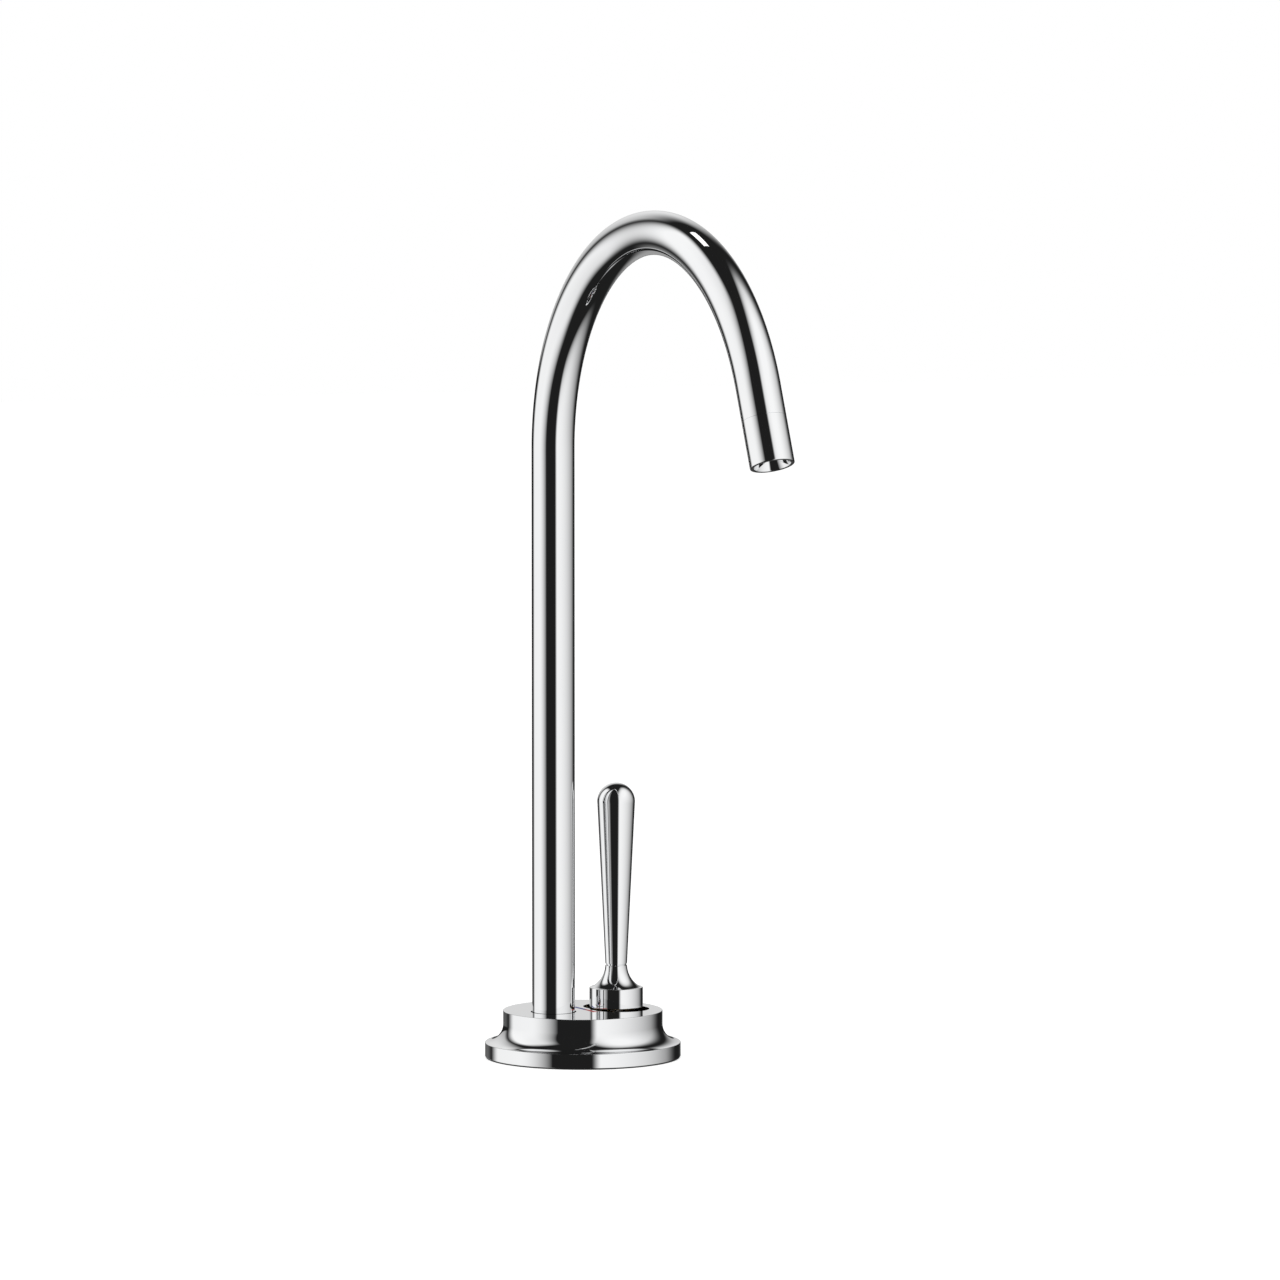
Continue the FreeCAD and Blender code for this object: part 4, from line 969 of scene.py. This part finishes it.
hub_profile = arc((HUB_R - ROUNDING, HUB_Z + ROUNDING), ROUNDING, -90, 0, steps=6)
hub_profile += arc((HUB_R - ROUNDING, HUB_TOP - ROUNDING), ROUNDING, 0, 90, steps=6)
hub_profile += arc_between((SHOULDER_R, HUB_TOP), (NECK_R, JOINT_Z - V_GROOVE), BELL_R, BELL_STEPS)
hub_profile += [
    (NECK_R - V_GROOVE, JOINT_Z), (STUD_R, JOINT_Z), (STUD_R, JOINT_Z - STUD_DEPTH), (0, JOINT_Z - STUD_DEPTH),
    (0, STEM_TOP), (STEM_R, STEM_TOP), (STEM_R, BOSS_FOOT), (BOSS_R, BOSS_FOOT),
    (BOSS_R, HOLLOW_TOP), (HOLLOW_R, HOLLOW_TOP), (HOLLOW_R, HUB_Z),
]
print("hub profile points:", len(hub_profile), "joint at", JOINT_Z, "mm")

# %% [markdown]
# ## Hub
# A grub screw at the back fixes the hub to the stem. Its hole runs across the hub's axis, so it is drilled
# with a Boolean after the turning.

# %% Hub
GRUB_R, GRUB_Y, GRUB_Z = 1.55, 8.0, 26.7
DRILL_LENGTH, DRILL_STEPS = 10, 48

drill = bmesh.new()
bmesh.ops.create_cone(
    drill, cap_ends=True, segments=DRILL_STEPS, radius1=GRUB_R, radius2=GRUB_R, depth=DRILL_LENGTH,
)
bmesh.ops.rotate(drill, cent=(0, 0, 0), matrix=Matrix.Rotation(math.pi / 2, 3, "X"), verts=drill.verts)
bmesh.ops.translate(drill, vec=(LEVER_X, GRUB_Y, GRUB_Z), verts=drill.verts)
hub_mesh = carved("hub_skin", turned(hub_profile, LEVER_X), [as_tool("grub_drill", drill)])
dress("hub_skin", hub_mesh, "lever", "lever_hub", chrome_finish)

# %% [markdown]
# ## Grip
# The grip is a long straight taper that swells to a round top, and a fine V groove marks where it meets the
# hub. It could be lofted through rings, but a turning is round everywhere, which a mirror finish needs. The
# round top starts at the angle of the taper, so that the two meet without a corner.

# %% Grip
GRIP_R, GRIP_LENGTH, CROWN_STEPS = 7.95, 77.1, 64

round_middle = JOINT_Z + GRIP_LENGTH - GRIP_R
taper = (GRIP_R - NECK_R) / (round_middle - JOINT_Z - V_GROOVE)
tangent = math.degrees(math.atan(taper))
grip_profile = [(STUD_R, JOINT_Z), (NECK_R - V_GROOVE, JOINT_Z), (NECK_R, JOINT_Z + V_GROOVE)]
grip_profile += arc((0, round_middle), GRIP_R, -tangent, 90, CROWN_STEPS)
grip_profile += [(0, JOINT_Z + STUD_DEPTH), (STUD_R, JOINT_Z + STUD_DEPTH)]
new_piece("grip_skin", turned(grip_profile, LEVER_X), "lever", "lever_grip", chrome_finish)

# %% [markdown]
# ## One turn of thread
# The shank that goes through the worktop carries a 30 mm thread with a pitch of 1.5 mm. A bump pattern could
# fake it, but its outline would stay straight. So the thread is real: one tooth is spun round once while it
# climbs by one pitch.

# %% One turn of thread
SHANK_R, SHANK_FOOT, SHANK_TOP, SHANK_STEPS = 15.0, -55.0, -6.0, 60
PITCH, THREAD_DEPTH, FLANK, CREST = 1.5, 0.92, 0.53, 0.19
SPARE_TURNS = 2

core = SHANK_R - THREAD_DEPTH
tooth = [
    (core, 0), (core, PITCH - 2 * FLANK - CREST), (SHANK_R, PITCH - FLANK - CREST), (SHANK_R, PITCH - FLANK),
    (core, PITCH),
]
thread = bmesh.new()
verts = [thread.verts.new((radius, 0, SHANK_FOOT - SPARE_TURNS * PITCH + z)) for radius, z in tooth]
edges = [thread.edges.new(pair) for pair in zip(verts, verts[1:])]
bmesh.ops.spin(
    thread, geom=verts + edges, cent=(0, 0, 0), axis=(0, 0, 1), dvec=(0, 0, PITCH / SHANK_STEPS),
    angle=math.tau, steps=SHANK_STEPS, use_merge=False, use_normal_flip=False, use_duplicate=False,
)
print("faces in one turn:", len(thread.faces))

# %% [markdown]
# ## Stacked turns
# Copies of that turn are stacked, with some to spare at both ends, and welded where they meet. An Array
# modifier could stack them too. Two flat cuts then trim the thread to the shank's length, as a saw would.

# %% Stacked turns
TURN_WELD, TRIM_WELD = 1e-3, 1e-4


def all_of(shape):
    return shape.verts[:] + shape.edges[:] + shape.faces[:]


one_turn = all_of(thread)
copies = math.ceil((SHANK_TOP - SHANK_FOOT) / PITCH) + SPARE_TURNS
for number in range(1, copies + 1):
    twin = bmesh.ops.duplicate(thread, geom=one_turn)["geom"]
    bmesh.ops.translate(thread, vec=(0, 0, number * PITCH), verts=only(bmesh.types.BMVert, twin))
bmesh.ops.remove_doubles(thread, verts=thread.verts, dist=TURN_WELD)
for end_z, outward in ((SHANK_FOOT, -1), (SHANK_TOP, 1)):
    bmesh.ops.bisect_plane(
        thread, geom=all_of(thread), dist=TRIM_WELD, plane_co=(0, 0, end_z), plane_no=(0, 0, outward),
        clear_outer=True, clear_inner=False,
    )
print("copies of the turn:", copies)

# %% [markdown]
# ## Chamfer and bore
# The lower end is chamfered, so that a nut finds the thread: every point outside the chamfer's cone is pulled
# in to it. Then a circle at each end is bridged to the thread, and the two circles to each other, which makes
# the bore and closes the shape.

# %% Chamfer and bore
SHANK_CHAMFER, SHANK_BORE = 0.83, 12.5
AT_END = 1e-3

for vert in thread.verts:
    limit = SHANK_R - SHANK_CHAMFER + max(vert.co.z - SHANK_FOOT, 0)
    reach = vert.co.to_2d().length
    if reach > limit:
        vert.co.x, vert.co.y = vert.co.x * limit / reach, vert.co.y * limit / reach
bore_ends = []
for end_z in (SHANK_FOOT, SHANK_TOP):
    trimmed = [edge for edge in thread.edges if all(abs(vert.co.z - end_z) < AT_END for vert in edge.verts)]
    rim = [edge for edge in trimmed if edge.is_boundary]
    bore = bmesh.ops.create_circle(thread, segments=SHANK_STEPS, radius=SHANK_BORE, cap_ends=False)["verts"]
    bmesh.ops.translate(thread, vec=(0, 0, end_z), verts=bore)
    bore_edges = list({edge for vert in bore for edge in vert.link_edges})
    bmesh.ops.bridge_loops(thread, edges=rim + bore_edges)
    bore_ends += bore_edges
bmesh.ops.bridge_loops(thread, edges=bore_ends)
new_piece("shank_skin", thread, "base", "threaded_shank", shank_brass)
